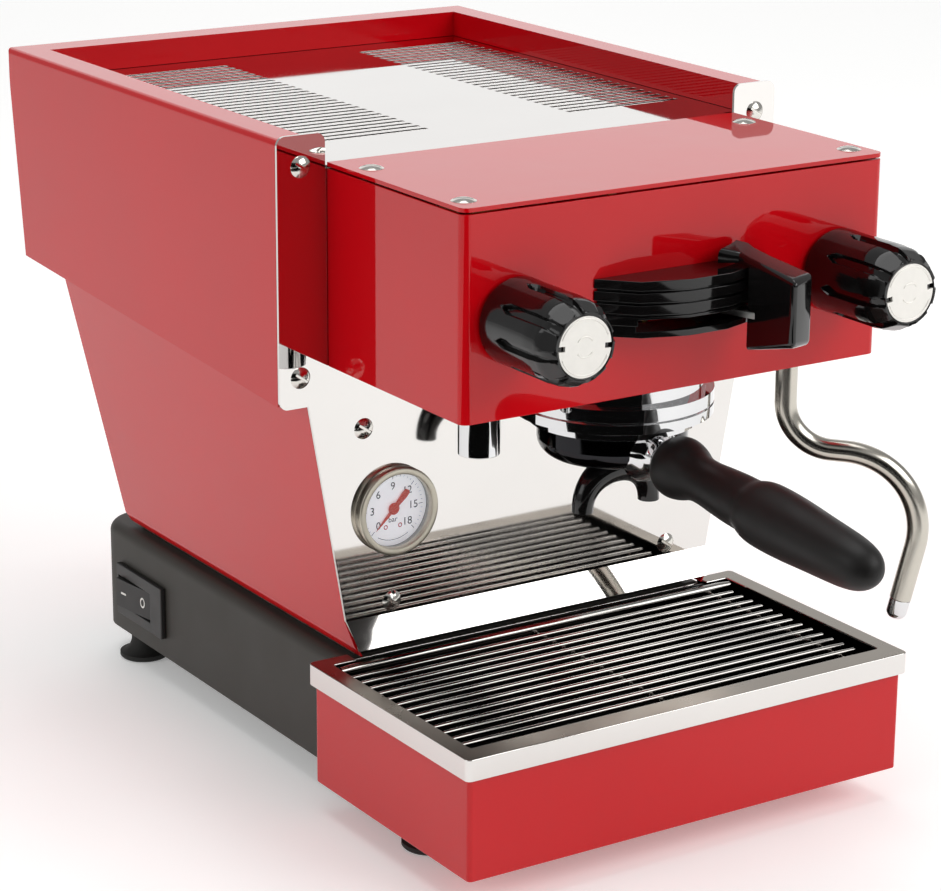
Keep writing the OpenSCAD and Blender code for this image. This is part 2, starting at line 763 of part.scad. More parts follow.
module drip_box() {
  zb = floor_z + 0.4;
  zt = rim_z - 9.4;
  w = rim_w - 2.4;
  color("#c4262d") from_panel() difference() {
    translate([0, 0, zb]) linear_extrude(zt - zb) round_rect(-w, w, drawer_front, 1, 2.5);
    translate([0, 0, zb + sheet]) linear_extrude(100)
      round_rect(-w + sheet, w - sheet, drawer_front + sheet, 1 - sheet, 1.5);
  }
}

module drip_rim() {
  t = 1.2;
  z0 = rim_z - 10.9;
  color("#e4e2de") from_panel() difference() {
    translate([0, 0, z0]) linear_extrude(rim_z - z0) round_rect(-rim_w, rim_w, -rim_d, 3.4, 3);
    translate([0, 0, z0 - 1]) linear_extrude(11.9 - t)
      round_rect(-rim_w + t, rim_w - t, -rim_d + t, 3.4 - t, 2);
    translate([0, 0, z0]) linear_extrude(20) round_rect(-120, 120, -128.5, -5.4, 1);
    box(-107, 107, -6, 1.9, rim_z - 2, rim_z + 1);
    box(-107, 107, 1, 5, rim_z - 3, rim_z + 1);
  }
}

module drip_tray() {
  color("#55534f") from_panel() difference() {
    union() {
      translate([0, 0, 26]) linear_extrude(rim_z - 1.4 - 26) round_rect(-122, 122, -131, -3, 6);
      translate([0, 0, rim_z - 2.6]) linear_extrude(1.2) round_rect(-126, 126, -135, -2.6, 3);
    }
    translate([0, 0, 27.2]) linear_extrude(60) round_rect(-120.8, 120.8, -129.8, -4.2, 5);
  }
  // ledges that carry the grid
  color("#55534f") from_panel() for (y = [-130, -8.4]) box(-117, 117, y, y + 4.4, 66, 71.6);
}

module drip_grid() {
  bar_r = 1.5;
  z = rim_z - 2.6;
  pitch = 106.4 / (bar_n - 1);
  color("#d8d6d1") from_panel() {
    for (i = [0 : bar_n - 1]) translate([0, -20 - i * pitch, z]) cyl_x(bar_r, -118.4, 113);
    translate([0, -9.7, z]) cyl_x(2.6, -118.4, 118.4);
    for (x = [-116.5, -5, 105]) box(x - 1.3, x + 1.3, -128.3, -7.4, z - 3.8, z - 0.9);
  }
}

// ---------- water tank ----------

module water_tank() {
  color("#dfe6ea", 0.5) from_panel() difference() {
    translate([0, 0, floor_z + 0.5]) linear_extrude(50) round_rect(-98, 98, 9, 206, 8);
    translate([0, 0, floor_z + 3]) linear_extrude(60) round_rect(-95.5, 95.5, 11.5, 203.5, 6);
  }
}

module tank_lid() {
  color("#c9ced1") from_panel() difference() {
    union() {
      translate([0, 0, floor_z + 50.6]) linear_extrude(2) round_rect(-98, 98, 9, 206, 8);
      translate([0, 0, floor_z + 47]) linear_extrude(4) difference() {
        round_rect(-95.2, 95.2, 11.8, 203.2, 6);
        round_rect(-93.2, 93.2, 13.8, 201.2, 5);
      }
    }
    translate([0, 40, 60]) cylinder(r = 16, h = 20);
  }
}

base_floor();
base_housing();
feet();
chassis_plate();
lower_body();
upper_body();
front_panel();
panel_screws();
cup_tray();
group_cover();
group_lid();
lid_screws();
paddle_housing();
group_head();
group_gasket();
shower_screen();
hot_water_spout();
steam_valve();
hot_water_valve();
wand_socket();
gauge_case();
gauge_bezel();
gauge_dial();
gauge_glass();
switch_bezel();
power_inlet();
brew_boiler();
steam_boiler();
pump();
control_board();
copper_pipes();
steam_knob();
steam_knob_cap();
steam_stem();
hot_water_knob();
hot_water_knob_cap();
hot_water_stem();
paddle_handle();
paddle_arm();
portafilter_body();
portafilter_basket();
portafilter_handle();
portafilter_spout();
steam_wand();
wand_ball();
steam_tip();
gauge_needle();
switch_rocker();
drip_box();
drip_rim();
drip_tray();
drip_grid();
water_tank();
tank_lid();
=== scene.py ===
"""Looks for a home espresso machine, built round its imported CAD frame.

Lengths are written in millimetres and turned to metres by MM. X is to the machine's right,
Y to the rear and Z up, as in the frame. PANEL is the Y of the front panel's face.
"""

import json
import math

import bmesh
import bpy
from mathutils import Matrix, Vector


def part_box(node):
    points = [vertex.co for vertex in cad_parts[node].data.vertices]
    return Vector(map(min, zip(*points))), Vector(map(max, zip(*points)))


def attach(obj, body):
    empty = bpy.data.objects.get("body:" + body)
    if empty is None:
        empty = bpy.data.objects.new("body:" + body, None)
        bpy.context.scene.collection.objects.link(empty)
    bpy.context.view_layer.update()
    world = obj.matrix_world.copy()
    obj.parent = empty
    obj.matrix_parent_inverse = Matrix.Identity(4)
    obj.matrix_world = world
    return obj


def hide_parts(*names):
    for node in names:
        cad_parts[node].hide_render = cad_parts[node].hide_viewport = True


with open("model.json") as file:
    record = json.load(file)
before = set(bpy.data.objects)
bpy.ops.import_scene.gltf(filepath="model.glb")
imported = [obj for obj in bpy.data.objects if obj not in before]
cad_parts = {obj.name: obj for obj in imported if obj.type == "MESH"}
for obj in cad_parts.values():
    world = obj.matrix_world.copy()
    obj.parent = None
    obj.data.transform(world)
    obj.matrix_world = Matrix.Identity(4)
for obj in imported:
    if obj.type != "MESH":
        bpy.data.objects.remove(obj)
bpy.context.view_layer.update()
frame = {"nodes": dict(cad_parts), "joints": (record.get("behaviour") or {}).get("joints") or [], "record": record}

MM = 0.001
NODES = frame["nodes"]
BODY_OF = {n: b for b, names in frame["record"]["behaviour"]["bodies"].items() for n in names}
SLOT_OF = {p["node"]: p["material_slot"] for p in frame["record"]["subparts"]}
JOINT = {j["name"]: j for j in frame["joints"]}


def lowest(node):
    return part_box(node)[0] / MM


def highest(node):
    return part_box(node)[1] / MM


def pivot(joint):
    return Vector(JOINT[joint]["pos_m"]) / MM


PANEL = highest("group_cover").y + 0.4
GROUP = Vector((pivot("portafilter_turn").x, pivot("portafilter_turn").y))
GAUGE = pivot("needle_turn")


# ---------- finishes ----------

# nearly every value of a noise texture lies in this range
NOISE_SPAN = {"From Min": 0.3, "From Max": 0.7}


def linear(code):
    """Linear RGBA of an sRGB hex code."""
    parts = [int(code[i : i + 2], 16) / 255 for i in (1, 3, 5)]
    flat = [p / 12.92 if p <= 0.04045 else ((p + 0.055) / 1.055) ** 2.4 for p in parts]
    return (*flat, 1.0)


def add(tree, kind, values=(), links=(), **settings):
    """Adds a node with its settings, its inputs' values and what feeds its inputs."""
    made = tree.nodes.new(kind)
    for name, value in settings.items():
        setattr(made, name, value)
    for name, value in dict(values).items():
        made.inputs[name].default_value = value
    for name, source in dict(links).items():
        tree.links.new(source, made.inputs[name])
    return made


def finish(name, code, rough, metal=0.0, grain=1.0, bump=0.0, patch=40.0, swing=0.04, tint=0.06,
           stretch=(1, 1, 1), **sockets):
    """A surface whose colour and gloss drift over patches of so many mm, with a grain in relief.

    grain and patch are sizes in mm, bump is the relief's height in mm, swing the change of
    roughness and tint the change of brightness from patch to patch.
    """
    made = bpy.data.materials.new(name)
    made.use_nodes = True
    tree = made.node_tree
    shader = tree.nodes["Principled BSDF"]
    shader.inputs["Metallic"].default_value = metal
    for socket, value in sockets.items():
        shader.inputs[socket.replace("_", " ")].default_value = value
    where = add(tree, "ShaderNodeTexCoord")
    laid = add(tree, "ShaderNodeMapping", {"Scale": stretch}, {"Vector": where.outputs["Object"]})
    drift = add(tree, "ShaderNodeTexNoise", {"Scale": 1 / (patch * MM), "Detail": 3.0},
                {"Vector": where.outputs["Object"]})
    relief = add(tree, "ShaderNodeTexNoise", {"Scale": 1 / (grain * MM), "Detail": 4.0},
                 {"Vector": laid.outputs["Vector"]})
    shade = add(tree, "ShaderNodeMapRange", {**NOISE_SPAN, "To Min": 1 - tint, "To Max": 1 + tint},
                {"Value": drift.outputs["Fac"]})
    colour = add(tree, "ShaderNodeHueSaturation", {"Color": linear(code)},
                 {"Value": shade.outputs["Result"]})
    gloss = add(tree, "ShaderNodeMapRange",
                {**NOISE_SPAN, "To Min": max(rough - swing, 0.01), "To Max": rough + swing},
                {"Value": drift.outputs["Fac"]})
    tree.links.new(colour.outputs["Color"], shader.inputs["Base Color"])
    tree.links.new(gloss.outputs["Result"], shader.inputs["Roughness"])
    if bump:
        raised = add(tree, "ShaderNodeBump", {"Strength": 1.0, "Distance": bump * MM},
                     {"Height": relief.outputs["Fac"]})
        tree.links.new(raised.outputs["Normal"], shader.inputs["Normal"])
    return made


# Enamel baked on steel sheet: deep even red under a clear gloss, with a faint orange peel.
RED = finish("red_enamel_on_steel", "#C40410", 0.42, grain=2.6, bump=0.0016, patch=70, tint=0.03,
             Coat_Weight=1.0, Coat_Roughness=0.03, Coat_IOR=1.42, Specular_IOR_Level=0.02)
# Stainless sheet polished to a mirror: clear reflections, a trace of wiping marks.
MIRROR = finish("mirror_polished_stainless", "#DDDAD7", 0.035, 1.0, grain=6, bump=0.0006, patch=55,
                swing=0.02, tint=0.015)
# Stainless tube and sheet, satin brushed: soft streaks along the work.
SATIN = finish("satin_brushed_stainless", "#BFBAB0", 0.24, 1.0, grain=0.7, bump=0.004, patch=16, swing=0.06,
               tint=0.08, stretch=(1, 1, 0.05))
# Stainless tube of the wand, dulled by steam: darker streaks along it.
WAND_STEEL = finish("dulled_wand_steel", "#C2BDB3", 0.2, 1.0, grain=0.8, bump=0.003, patch=30, swing=0.04,
                    tint=0.05, stretch=(1, 1, 0.08))
# Cut edge of the polished sheet inside a slot, painted dark as the shade that falls there.
SLOT_SHADE = finish("painted_shade_slot_wall", "#3A3836", 0.4, 0.6, grain=0.5, bump=0.002, patch=8)
# Machined and polished stainless screws.
SCREW = finish("polished_screw_steel", "#D8D5CF", 0.14, 1.0, grain=0.4, bump=0.002, patch=3,
               swing=0.05, tint=0.05)
# Zinc-plated steel: greyer and rougher, with small flecks.
ZINC = finish("zinc_plated_steel", "#A6A7A4", 0.38, 1.0, grain=0.9, bump=0.004, patch=9, swing=0.08,
              tint=0.1)
# Chrome plate on brass castings: hard bright reflections with very little tint.
CHROME = finish("bright_chrome_plate", "#D9D9DA", 0.045, 1.0, grain=3, bump=0.001, patch=20,
                swing=0.02, tint=0.02)
# Chrome of the bowl painted near black: a painted dark reflection, a black mirror.
CHROME_PAINTED_DARK = finish("chrome_painted_dark_reflection", "#2B2B2D", 0.07, 1.0, grain=3, bump=0.001, patch=20, swing=0.03)
# Plated wire of the drip grid, painted darker than chrome: a painted dark reflection of the shade round the grid.
WIRE_PAINTED_DARK = finish("wire_painted_dark_reflection", "#A6A39F", 0.09, 1.0, grain=2, bump=0.001, patch=12, swing=0.03,
              tint=0.05)
# Machined brass fittings.
BRASS = finish("machined_brass", "#C79A52", 0.3, 1.0, grain=0.5, bump=0.003, patch=8, swing=0.08, tint=0.1)
# Bare copper tube and boiler shell, slightly tarnished.
COPPER = finish("drawn_copper", "#B87048", 0.3, 1.0, grain=0.6, bump=0.003, patch=12, swing=0.1, tint=0.18)
# Powder-coated steel base: matt charcoal with a very fine texture.
BASE = finish("textured_black_powder_coat", "#37342F", 0.6, grain=0.55, bump=0.018, patch=30, tint=0.05)
# Moulded phenolic: piano-black with a faint moulding ripple.
BLACK = finish("moulded_black_phenolic", "#0E0D0D", 0.11, grain=5, bump=0.003, patch=14, swing=0.04,
               tint=0.15, Coat_Weight=0.3, Coat_Roughness=0.04, Specular_IOR_Level=0.35)
# ABS switch parts: black, half matt, fine spark-eroded grain.
SWITCH = finish("grained_black_abs", "#1E1D1C", 0.42, grain=0.35, bump=0.012, patch=10)
# Nitrile rubber: dead black, slightly chalky.
RUBBER = finish("nitrile_rubber", "#1F1E1C", 0.72, grain=0.5, bump=0.02, patch=8, tint=0.12)
# Soft-touch rubber over the handle: satin with a fine skin and faint rubbed patches.
GRIP = finish("soft_touch_grip_rubber", "#110F0E", 0.46, grain=0.4, bump=0.01, patch=22, swing=0.07,
              tint=0.12, Specular_IOR_Level=0.3, Sheen_Weight=0.04, Sheen_Roughness=0.4)
# Spun aluminium disc, bead-blasted nearly white.
CAP = finish("blasted_aluminium_disc", "#EDEAE4", 0.42, 0.55, grain=0.3, bump=0.006, patch=6, tint=0.03)
# Brushed bezel of the gauge, a warm grey.
BEZEL = finish("brushed_gauge_bezel", "#C9C3B4", 0.36, 1.0, grain=0.6, bump=0.003, patch=20, tint=0.03)
# Printed dial: white lacquer on aluminium. Its emission is a painted glow, which brightens the dial as if more
# light fell on it.
GLOWING_DIAL = finish("white_dial_painted_glow", "#F4F6FC", 0.5, grain=0.5, bump=0.001, patch=10, tint=0.01,
              Emission_Color=linear("#F4F6FC"), Emission_Strength=0.3)
INK = finish("black_dial_ink", "#1B1B1F", 0.55, grain=0.3, bump=0.001, patch=5)
RED_INK = finish("red_dial_ink", "#D0352B", 0.5, grain=0.3, bump=0.001, patch=5)
NEEDLE = finish("red_lacquered_needle", "#D6402F", 0.35, grain=0.5, bump=0.002, patch=5)
WHITE_INK = finish("white_pad_print", "#F4F2EC", 0.5, grain=0.3, bump=0.002, patch=5, tint=0.02)
# Deep-drawn stainless drip tray, painted near black: painted shade and dark reflection under the grid.
SHADED_TRAY = finish("stainless_tray_painted_shade", "#1F1D1C", 0.3, 1.0, grain=1.5, bump=0.006, patch=25, swing=0.06,
              tint=0.25)
# Top of the tray's rim: the same stainless, darker and rougher on its upward faces.
RIM = finish("stainless_rim_darker_top", "#8A837A", 0.3, 1.0, grain=1.5, bump=0.003, patch=25, swing=0.06,
             tint=0.12)
# Blown translucent plastic of the tank.
TANK = finish("translucent_tank_plastic", "#D9E2E6", 0.3, grain=1.2, bump=0.006, patch=25,
              Transmission_Weight=0.6, IOR=1.49)
TANK_LID = finish("moulded_tank_lid_plastic", "#B7BCC0", 0.45, grain=0.8, bump=0.01, patch=25)
BOARD = finish("green_circuit_board", "#1F6B3A", 0.4, grain=0.6, bump=0.01, patch=12, tint=0.12)
# Pressed mineral-glass lens over the dial.
LENS = finish("clear_gauge_glass", "#FFFFFF", 0.03, grain=8, bump=0.0004, patch=20, swing=0.01,
              tint=0.0, Alpha=0.04, IOR=1.5)
LENS.surface_render_method = "BLENDED"

FINISH_OF_SLOT = {
    "red_paint": RED, "mirror_steel": MIRROR, "satin_steel": SATIN, "screw_steel": SCREW,
    "zinc_steel": ZINC, "chrome": CHROME, "brass": BRASS, "copper": COPPER, "black_base": BASE,
    "gloss_black": BLACK, "black_rubber": RUBBER, "grip_rubber": GRIP, "cap_silver": CAP,
    "dial_white": GLOWING_DIAL, "needle_red": NEEDLE, "clear_glass": LENS, "clear_plastic": TANK,
    "tank_plastic": TANK_LID, "board_green": BOARD,
}
for node, part in NODES.items():
    part.data.materials.clear()
    part.data.materials.append(FINISH_OF_SLOT[SLOT_OF[node]])


# ---------- making pieces ----------


def piece(name, mesh, finishes, body, slot, *nodes, smooth=True):
    """Puts a mesh in the scene as a piece that rides on a body and stands for the CAD nodes."""
    made = bpy.data.objects.new(name, mesh)
    bpy.context.scene.collection.objects.link(made)
    if mesh.materials:
        mesh.materials.clear()
    for one in finishes:
        mesh.materials.append(one)
    for face in mesh.polygons:
        face.use_smooth = smooth
    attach(made, body)
    if nodes:
        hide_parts(*nodes)
    return made


def mesh_from(name, bm):
    bmesh.ops.recalc_face_normals(bm, faces=bm.faces)
    mesh = bpy.data.meshes.new(name)
    bm.to_mesh(mesh)
    bm.free()
    return mesh


def keep_edges_sharp(made, degrees=32):
    """Shades smooth, but not over edges sharper than so many degrees."""
    bm = bmesh.new()
    bm.from_mesh(made.data)
    for edge in bm.edges:
        edge.smooth = len(edge.link_faces) == 2 and edge.calc_face_angle(0) < math.radians(degrees)
    bm.to_mesh(made.data)
    bm.free()


def built(name, bm, finishes, body, slot, *nodes, sharp=None):
    """A piece from a bmesh, shaded smooth but over edges sharper than sharp degrees, if given."""
    made = piece(name, mesh_from(name, bm), finishes, body, slot, *nodes)
    if sharp:
        keep_edges_sharp(made, sharp)


# mirror sheets, shaded face by face so that their flats reflect true
FLAT_SHEETS = ("front_panel", "cup_tray")


def eased(node, radius, steps=2, over=30, paint=None, finishes=None):
    """A copy of a CAD node with its flat faces joined and its edges rounded to a radius in mm.

    Edges sharper than over, in degrees, are rounded, in so many steps. paint, if given, says
    from a face's middle, in mm, and the way it faces whether it takes the second finish.
    """
    bm = bmesh.new()
    bm.from_mesh(NODES[node].data)
    bmesh.ops.remove_doubles(bm, verts=bm.verts, dist=0.002 * MM)
    bmesh.ops.dissolve_limit(bm, angle_limit=math.radians(0.5), verts=bm.verts, edges=bm.edges)
    for face in bm.faces:
        face.material_index = int(paint(face.calc_center_median() / MM, face.normal)) if paint else 0
    mesh = bpy.data.meshes.new(node + "_finished")
    bm.to_mesh(mesh)
    bm.free()
    if "custom_normal" in mesh.attributes:
        mesh.attributes.remove(mesh.attributes["custom_normal"])
    flat = node in FLAT_SHEETS
    made = piece(mesh.name, mesh, finishes or [FINISH_OF_SLOT[SLOT_OF[node]]], BODY_OF[node],
                 SLOT_OF[node], node, smooth=not flat)
    if radius:
        ease = made.modifiers.new("eased_edges", "BEVEL")
        ease.width = radius * MM
        ease.segments = steps
        ease.limit_method = "ANGLE"
        ease.angle_limit = math.radians(over)
        if not flat:
            made.modifiers.new("broad_faces_lead", "WEIGHTED_NORMAL").keep_sharp = True
    else:
        keep_edges_sharp(made)


def along(origin, direction, side=(0, 0, 1)):
    """Frame at origin (mm) whose Z runs along direction and whose X leans to side."""
    z = Vector(direction).normalized()
    x = (Vector(side) - z * Vector(side).dot(z)).normalized()
    turn = Matrix((x, z.cross(x), z)).transposed().to_4x4()
    return Matrix.Translation(Vector(origin) * MM) @ turn


# a profile's radius below this, in mm, is the axis itself
AT_AXIS = 1e-6


def turned(profile, sides, place, radius_at=None):
    """A turned solid from (radius, height) pairs in mm; radius_at may vary it round the axis."""
    bm = bmesh.new()
    rings = []
    for radius, height in profile:
        if radius < AT_AXIS:
            rings.append([bm.verts.new((0, 0, height * MM))] * sides)
            continue
        ring = []
        for k in range(sides):
            a = 2 * math.pi * k / sides
            r = radius_at(a, radius, height) if radius_at else radius
            ring.append(bm.verts.new((r * math.cos(a) * MM, r * math.sin(a) * MM, height * MM)))
        rings.append(ring)
    for low, high in zip(rings, rings[1:]):
        for k in range(sides):
            j = (k + 1) % sides
            corners = list(dict.fromkeys((low[k], low[j], high[j], high[k])))
            if len(corners) > 2:
                bm.faces.new(corners)
    bm.transform(place)
    return bm


def smooth_through(points, steps):
    """Catmull-Rom points through a list of pairs or vectors."""
    points = [Vector(p) for p in points]
    ends = [points[0] * 2 - points[1], *points, points[-1] * 2 - points[-2]]
    made = []
    for a, b, c, d in zip(ends, ends[1:], ends[2:], ends[3:]):
        for i in range(steps):
            t = i / steps
            made.append(0.5 * ((2 * b) + (c - a) * t + (2 * a - 5 * b + 4 * c - d) * t * t
                               + (3 * b - a - 3 * c + d) * t ** 3))
    return [*made, points[-1]]


def tube(path, radii, sides, flat=(1, 1), side=(0, 1, 0), bm=None):
    """A closed tube through points in mm; flat scales its section across and along side."""
    bm = bm or bmesh.new()
    rings = []
    last = len(path) - 1
    for i, point in enumerate(path):
        run = (path[min(i + 1, last)] - path[max(i - 1, 0)]).normalized()
        out = (Vector(side) - run * Vector(side).dot(run)).normalized()
        across = out.cross(run)
        ring = []
        for k in range(sides):
            a = 2 * math.pi * k / sides
            spoke = math.cos(a) * across * flat[0] + math.sin(a) * out * flat[1]
            ring.append(bm.verts.new((point + radii[i] * spoke) * MM))
        rings.append(ring)
    for low, high in zip(rings, rings[1:]):
        for k in range(sides):
            j = (k + 1) % sides
            bm.faces.new((low[k], low[j], high[j], high[k]))
    bm.faces.new(reversed(rings[0]))
    bm.faces.new(rings[-1])
    return bm


# ---------- repeated parts, by geometry nodes ----------


def new_tree(name, inputs):
    """A geometry tree with named number inputs. Returns it with its input and output nodes."""
    tree = bpy.data.node_groups.new(name, "GeometryNodeTree")
    tree.interface.new_socket("Geometry", in_out="INPUT", socket_type="NodeSocketGeometry")
    tree.interface.new_socket("Geometry", in_out="OUTPUT", socket_type="NodeSocketGeometry")
    for title, kind in inputs.items():
        tree.interface.new_socket(title, in_out="INPUT", socket_type=kind)
    return tree, add(tree, "NodeGroupInput"), add(tree, "NodeGroupOutput")


def close_tree(tree, end, geometry, material):
    """Ends a tree in real geometry with its finish set."""
    real = add(tree, "GeometryNodeRealizeInstances", links={"Geometry": geometry})
    dressed = add(tree, "GeometryNodeSetMaterial", {"Material": material},
                  {"Geometry": real.outputs["Geometry"]})
    tree.links.new(dressed.outputs["Geometry"], end.inputs["Geometry"])


def grown(name, tree, values):
    """The plain mesh that a tree makes with these inputs."""
    host = bpy.data.objects.new(name, bpy.data.meshes.new(name))
    bpy.context.scene.collection.objects.link(host)
    made = host.modifiers.new(name, "NODES")
    made.node_group = tree
    for item in tree.interface.items_tree:
        if item.item_type == "SOCKET" and item.in_out == "INPUT" and item.name in values:
            made[item.identifier] = values[item.name]
    graph = bpy.context.evaluated_depsgraph_get()
    graph.update()
    mesh = bpy.data.meshes.new_from_object(host.evaluated_get(graph), depsgraph=graph)
    mesh.name = name
    bpy.data.objects.remove(host)
    return mesh


# a rod draws in to this part of its thickness over this share of its length at either end
END_THICKNESS = 0.8
END_SHARE = 0.03


def rod_tree():
    """Parallel round rods, side by side along Y, each running from one point to another."""
    tree, start, end = new_tree("rods_side_by_side", {
        "Count": "NodeSocketInt", "Pitch": "NodeSocketFloat", "From": "NodeSocketVector",
        "To": "NodeSocketVector", "Radius": "NodeSocketFloat"})
    line = add(tree, "GeometryNodeCurvePrimitiveLine",
               links={"Start": start.outputs["From"], "End": start.outputs["To"]})
    cut = add(tree, "GeometryNodeResampleCurve", {"Count": 33}, {"Curve": line.outputs["Curve"]})
    place = add(tree, "GeometryNodeSplineParameter")
    taper = add(tree, "ShaderNodeFloatCurve", links={"Value": place.outputs["Factor"]})
    curve = taper.mapping.curves[0]
    for point in curve.points:
        point.location.y = END_THICKNESS
    for x in (END_SHARE, 1 - END_SHARE):
        curve.points.new(x, 1)
    taper.mapping.update()
    thick = add(tree, "ShaderNodeMath", links={0: taper.outputs["Value"], 1: start.outputs["Radius"]},
                operation="MULTIPLY")
    section = add(tree, "GeometryNodeCurvePrimitiveCircle", {"Resolution": 16, "Radius": 1.0})
    rod = add(tree, "GeometryNodeCurveToMesh", {"Fill Caps": True},
              {"Curve": cut.outputs["Curve"], "Profile Curve": section.outputs["Curve"],
               "Scale": thick.outputs["Value"]})
    step = add(tree, "ShaderNodeCombineXYZ", links={"Y": start.outputs["Pitch"]})
    row = add(tree, "GeometryNodeMeshLine",
              links={"Count": start.outputs["Count"], "Offset": step.outputs["Vector"]})
    laid = add(tree, "GeometryNodeInstanceOnPoints", links={"Points": row.outputs["Mesh"],
                                                            "Instance": rod.outputs["Mesh"]})
    return tree, laid, end


def grid_rods(name, count, pitch, begin, finish_at, radius, material):
    tree, laid, end = rod_tree()
    close_tree(tree, end, laid.outputs["Instances"], material)
    return grown(name, tree, {"Count": count, "Pitch": pitch * MM, "From": Vector(begin) * MM,
                              "To": Vector(finish_at) * MM, "Radius": radius * MM})


def joined(name, meshes):
    """Several meshes as one, all of its faces in the first finish."""
    bm = bmesh.new()
    for mesh in meshes:
        bm.from_mesh(mesh)
    for face in bm.faces:
        face.material_index = 0
    mesh = bpy.data.meshes.new(name)
    bm.to_mesh(mesh)
    bm.free()
    return mesh


# ---------- sheet metal, castings and mouldings from the frame ----------

# radius in mm to which each node's edges are rounded
EDGE_RADIUS = {
    "upper_body": 0.6, "lower_body": 0.6, "group_cover": 0.6, "group_lid": 0.6, "front_panel": 0.3,
    "drip_box": 0.6, "drip_tray": 0.3, "paddle_housing": 0.55, "switch_bezel": 0.7, "power_inlet": 0.4,
    "group_head": 0.9, "hot_water_spout": 0.4, "panel_screws": 0.2, "lid_screws": 0.2,
    "steam_knob_cap": 0.15, "hot_water_knob_cap": 0.15, "paddle_arm": 0.4, "feet": 0, "gauge_case": 0,
    "gauge_glass": 0.2, "portafilter_basket": 0, "wand_ball": 0, "base_floor": 0.4, "water_tank": 0.6,
    "tank_lid": 0.4,
}
# the drip tray takes the stainless painted near black as shade
FINISH_INSTEAD = {"drip_tray": SHADED_TRAY, "switch_bezel": SWITCH, "power_inlet": SWITCH}
for node, radius in EDGE_RADIUS.items():
    eased(node, radius, finishes=[FINISH_INSTEAD.get(node, FINISH_OF_SLOT[SLOT_OF[node]])])

# the cup tray's slots lie within this half width, and so far behind the panel
SLOTS_HALF_WIDTH = 125
SLOTS_FROM = 20
# the bowl's painted dark reflection reaches this height and this distance from the group's axis
BOWL_TOP = 200.9
BOWL_RADIUS = 37.2


# faces of the slots' walls, which take the painted shade
def slot_wall(mid, out):
    return abs(out.z) < 0.5 and abs(mid.x) < SLOTS_HALF_WIDTH and mid.y > PANEL + SLOTS_FROM


def upward(mid, out):
    return out.z > 0.9


def bowl(mid, out):
    return mid.z < BOWL_TOP and (mid.xy - GROUP).length < BOWL_RADIUS


# the slots' walls are painted dark as shade
eased("cup_tray", 0.12, finishes=[MIRROR, SLOT_SHADE], paint=slot_wall)
eased("drip_rim", 0.5, finishes=[MIRROR, RIM], paint=upward)
eased("switch_rocker", 0.7, steps=3, over=20, finishes=[SWITCH])
# the bowl's chrome is painted near black as a dark reflection
eased("portafilter_body", 0.7, finishes=[CHROME, CHROME_PAINTED_DARK], paint=bowl)


# ---------- knobs ----------

# Grooves every so many degrees, the first at GROOVE_START. Each begins in a point at GROOVE_FROM
# above the knob's foot and widens over GROOVE_RUN; its walls slope over GROOVE_WALL.
GROOVE_STEP = 45
GROOVE_START = 10
GROOVE_FROM = 14
GROOVE_RUN = 5
GROOVE_HALF_WIDTH = 2.3
GROOVE_WALL = 0.55
GROOVE_DEPTH = 2.6
# From FACET_FROM to the knob's end each land is cut flat, at a distance that shrinks with height.
FACET_FROM = 41
FACET_DISTANCE = 21.4
FACET_SLOPE = 0.47


def share(value, start, span):
    """How far a value has come past start on its way over span, from 0 to 1."""
    return min(max((value - start) / span, 0), 1)


def knob_radius(angle, radius, height):
    """Radius of a fluted knob: eight grooves that start in a point, and a facet on each land's end."""
    off = (math.degrees(angle) - GROOVE_START) % GROOVE_STEP
    off = min(off, GROOVE_STEP - off)
    half = GROOVE_HALF_WIDTH * share(height, GROOVE_FROM, GROOVE_RUN)
    inside = share(half - math.radians(off) * radius, -GROOVE_WALL / 2, GROOVE_WALL)
    ease = inside * inside * (3 - 2 * inside)
    # the groove runs out at its point and over the rounded end
    depth = GROOVE_DEPTH * ease * share(height, GROOVE_FROM - 0.5, 1.2) * share(radius, 14.8, 2)
    if height <= FACET_FROM:
        return radius - depth
    facet = FACET_DISTANCE - FACET_SLOPE * (height - FACET_FROM)
    return min(radius - depth, facet / math.cos(math.radians(GROOVE_STEP / 2 - off)))


def fluted_knob(node):
    low, high = lowest(node), highest(node)
    length = high.y - low.y
    foot = [(0, 0), (18.6, 0), (19.6, 0.3), (20.3, 1.2), (20.5, 2.4), (20.4, 8)]
    barrel = [(20.3, h) for h in (12, 13.4, 14, 14.6, 15.3, 16, 17, 18, 19, 22, 28, 34, 39)]
    shoulder = [(20.0, 41), (19.9, 43), (19.8, 45), (19.4, 47), (18.8, 49), (17.9, 51)]
    # radius and distance from the knob's end, round the lip and into the seat of the cap
    lip = [(16.9, 1.2), (16.0, 0.35), (15.4, 0), (14.5, 0), (14.15, 0.2), (14.1, 1.6), (0, 1.6)]
    body = foot + barrel + shoulder + [(radius, length - back) for radius, back in lip]
    place = along(((low.x + high.x) / 2, high.y, (low.z + high.z) / 2), (0, -1, 0), (1, 0, 0))
    built(node + "_fluted", turned(body, 288, place, knob_radius), [BLACK], BODY_OF[node], SLOT_OF[node],
          node, sharp=38)


# Arcs pressed into a knob's disc: radius in mm, and the angles between which each runs.
CAP_ARCS = [(4.6, 35, 145), (4.6, 215, 325), (12.6, 20, 160), (12.6, 200, 340)]
CAP_BEAD = 0.4


def arc_points(radius, first, last, steps, height=0.0):
    """Points in mm along an arc about the Z axis, between two angles in degrees."""
    made = []
    for i in range(steps + 1):
        a = math.radians(first + (last - first) * i / steps)
        made.append(Vector((radius * math.cos(a), radius * math.sin(a), height)))
    return made


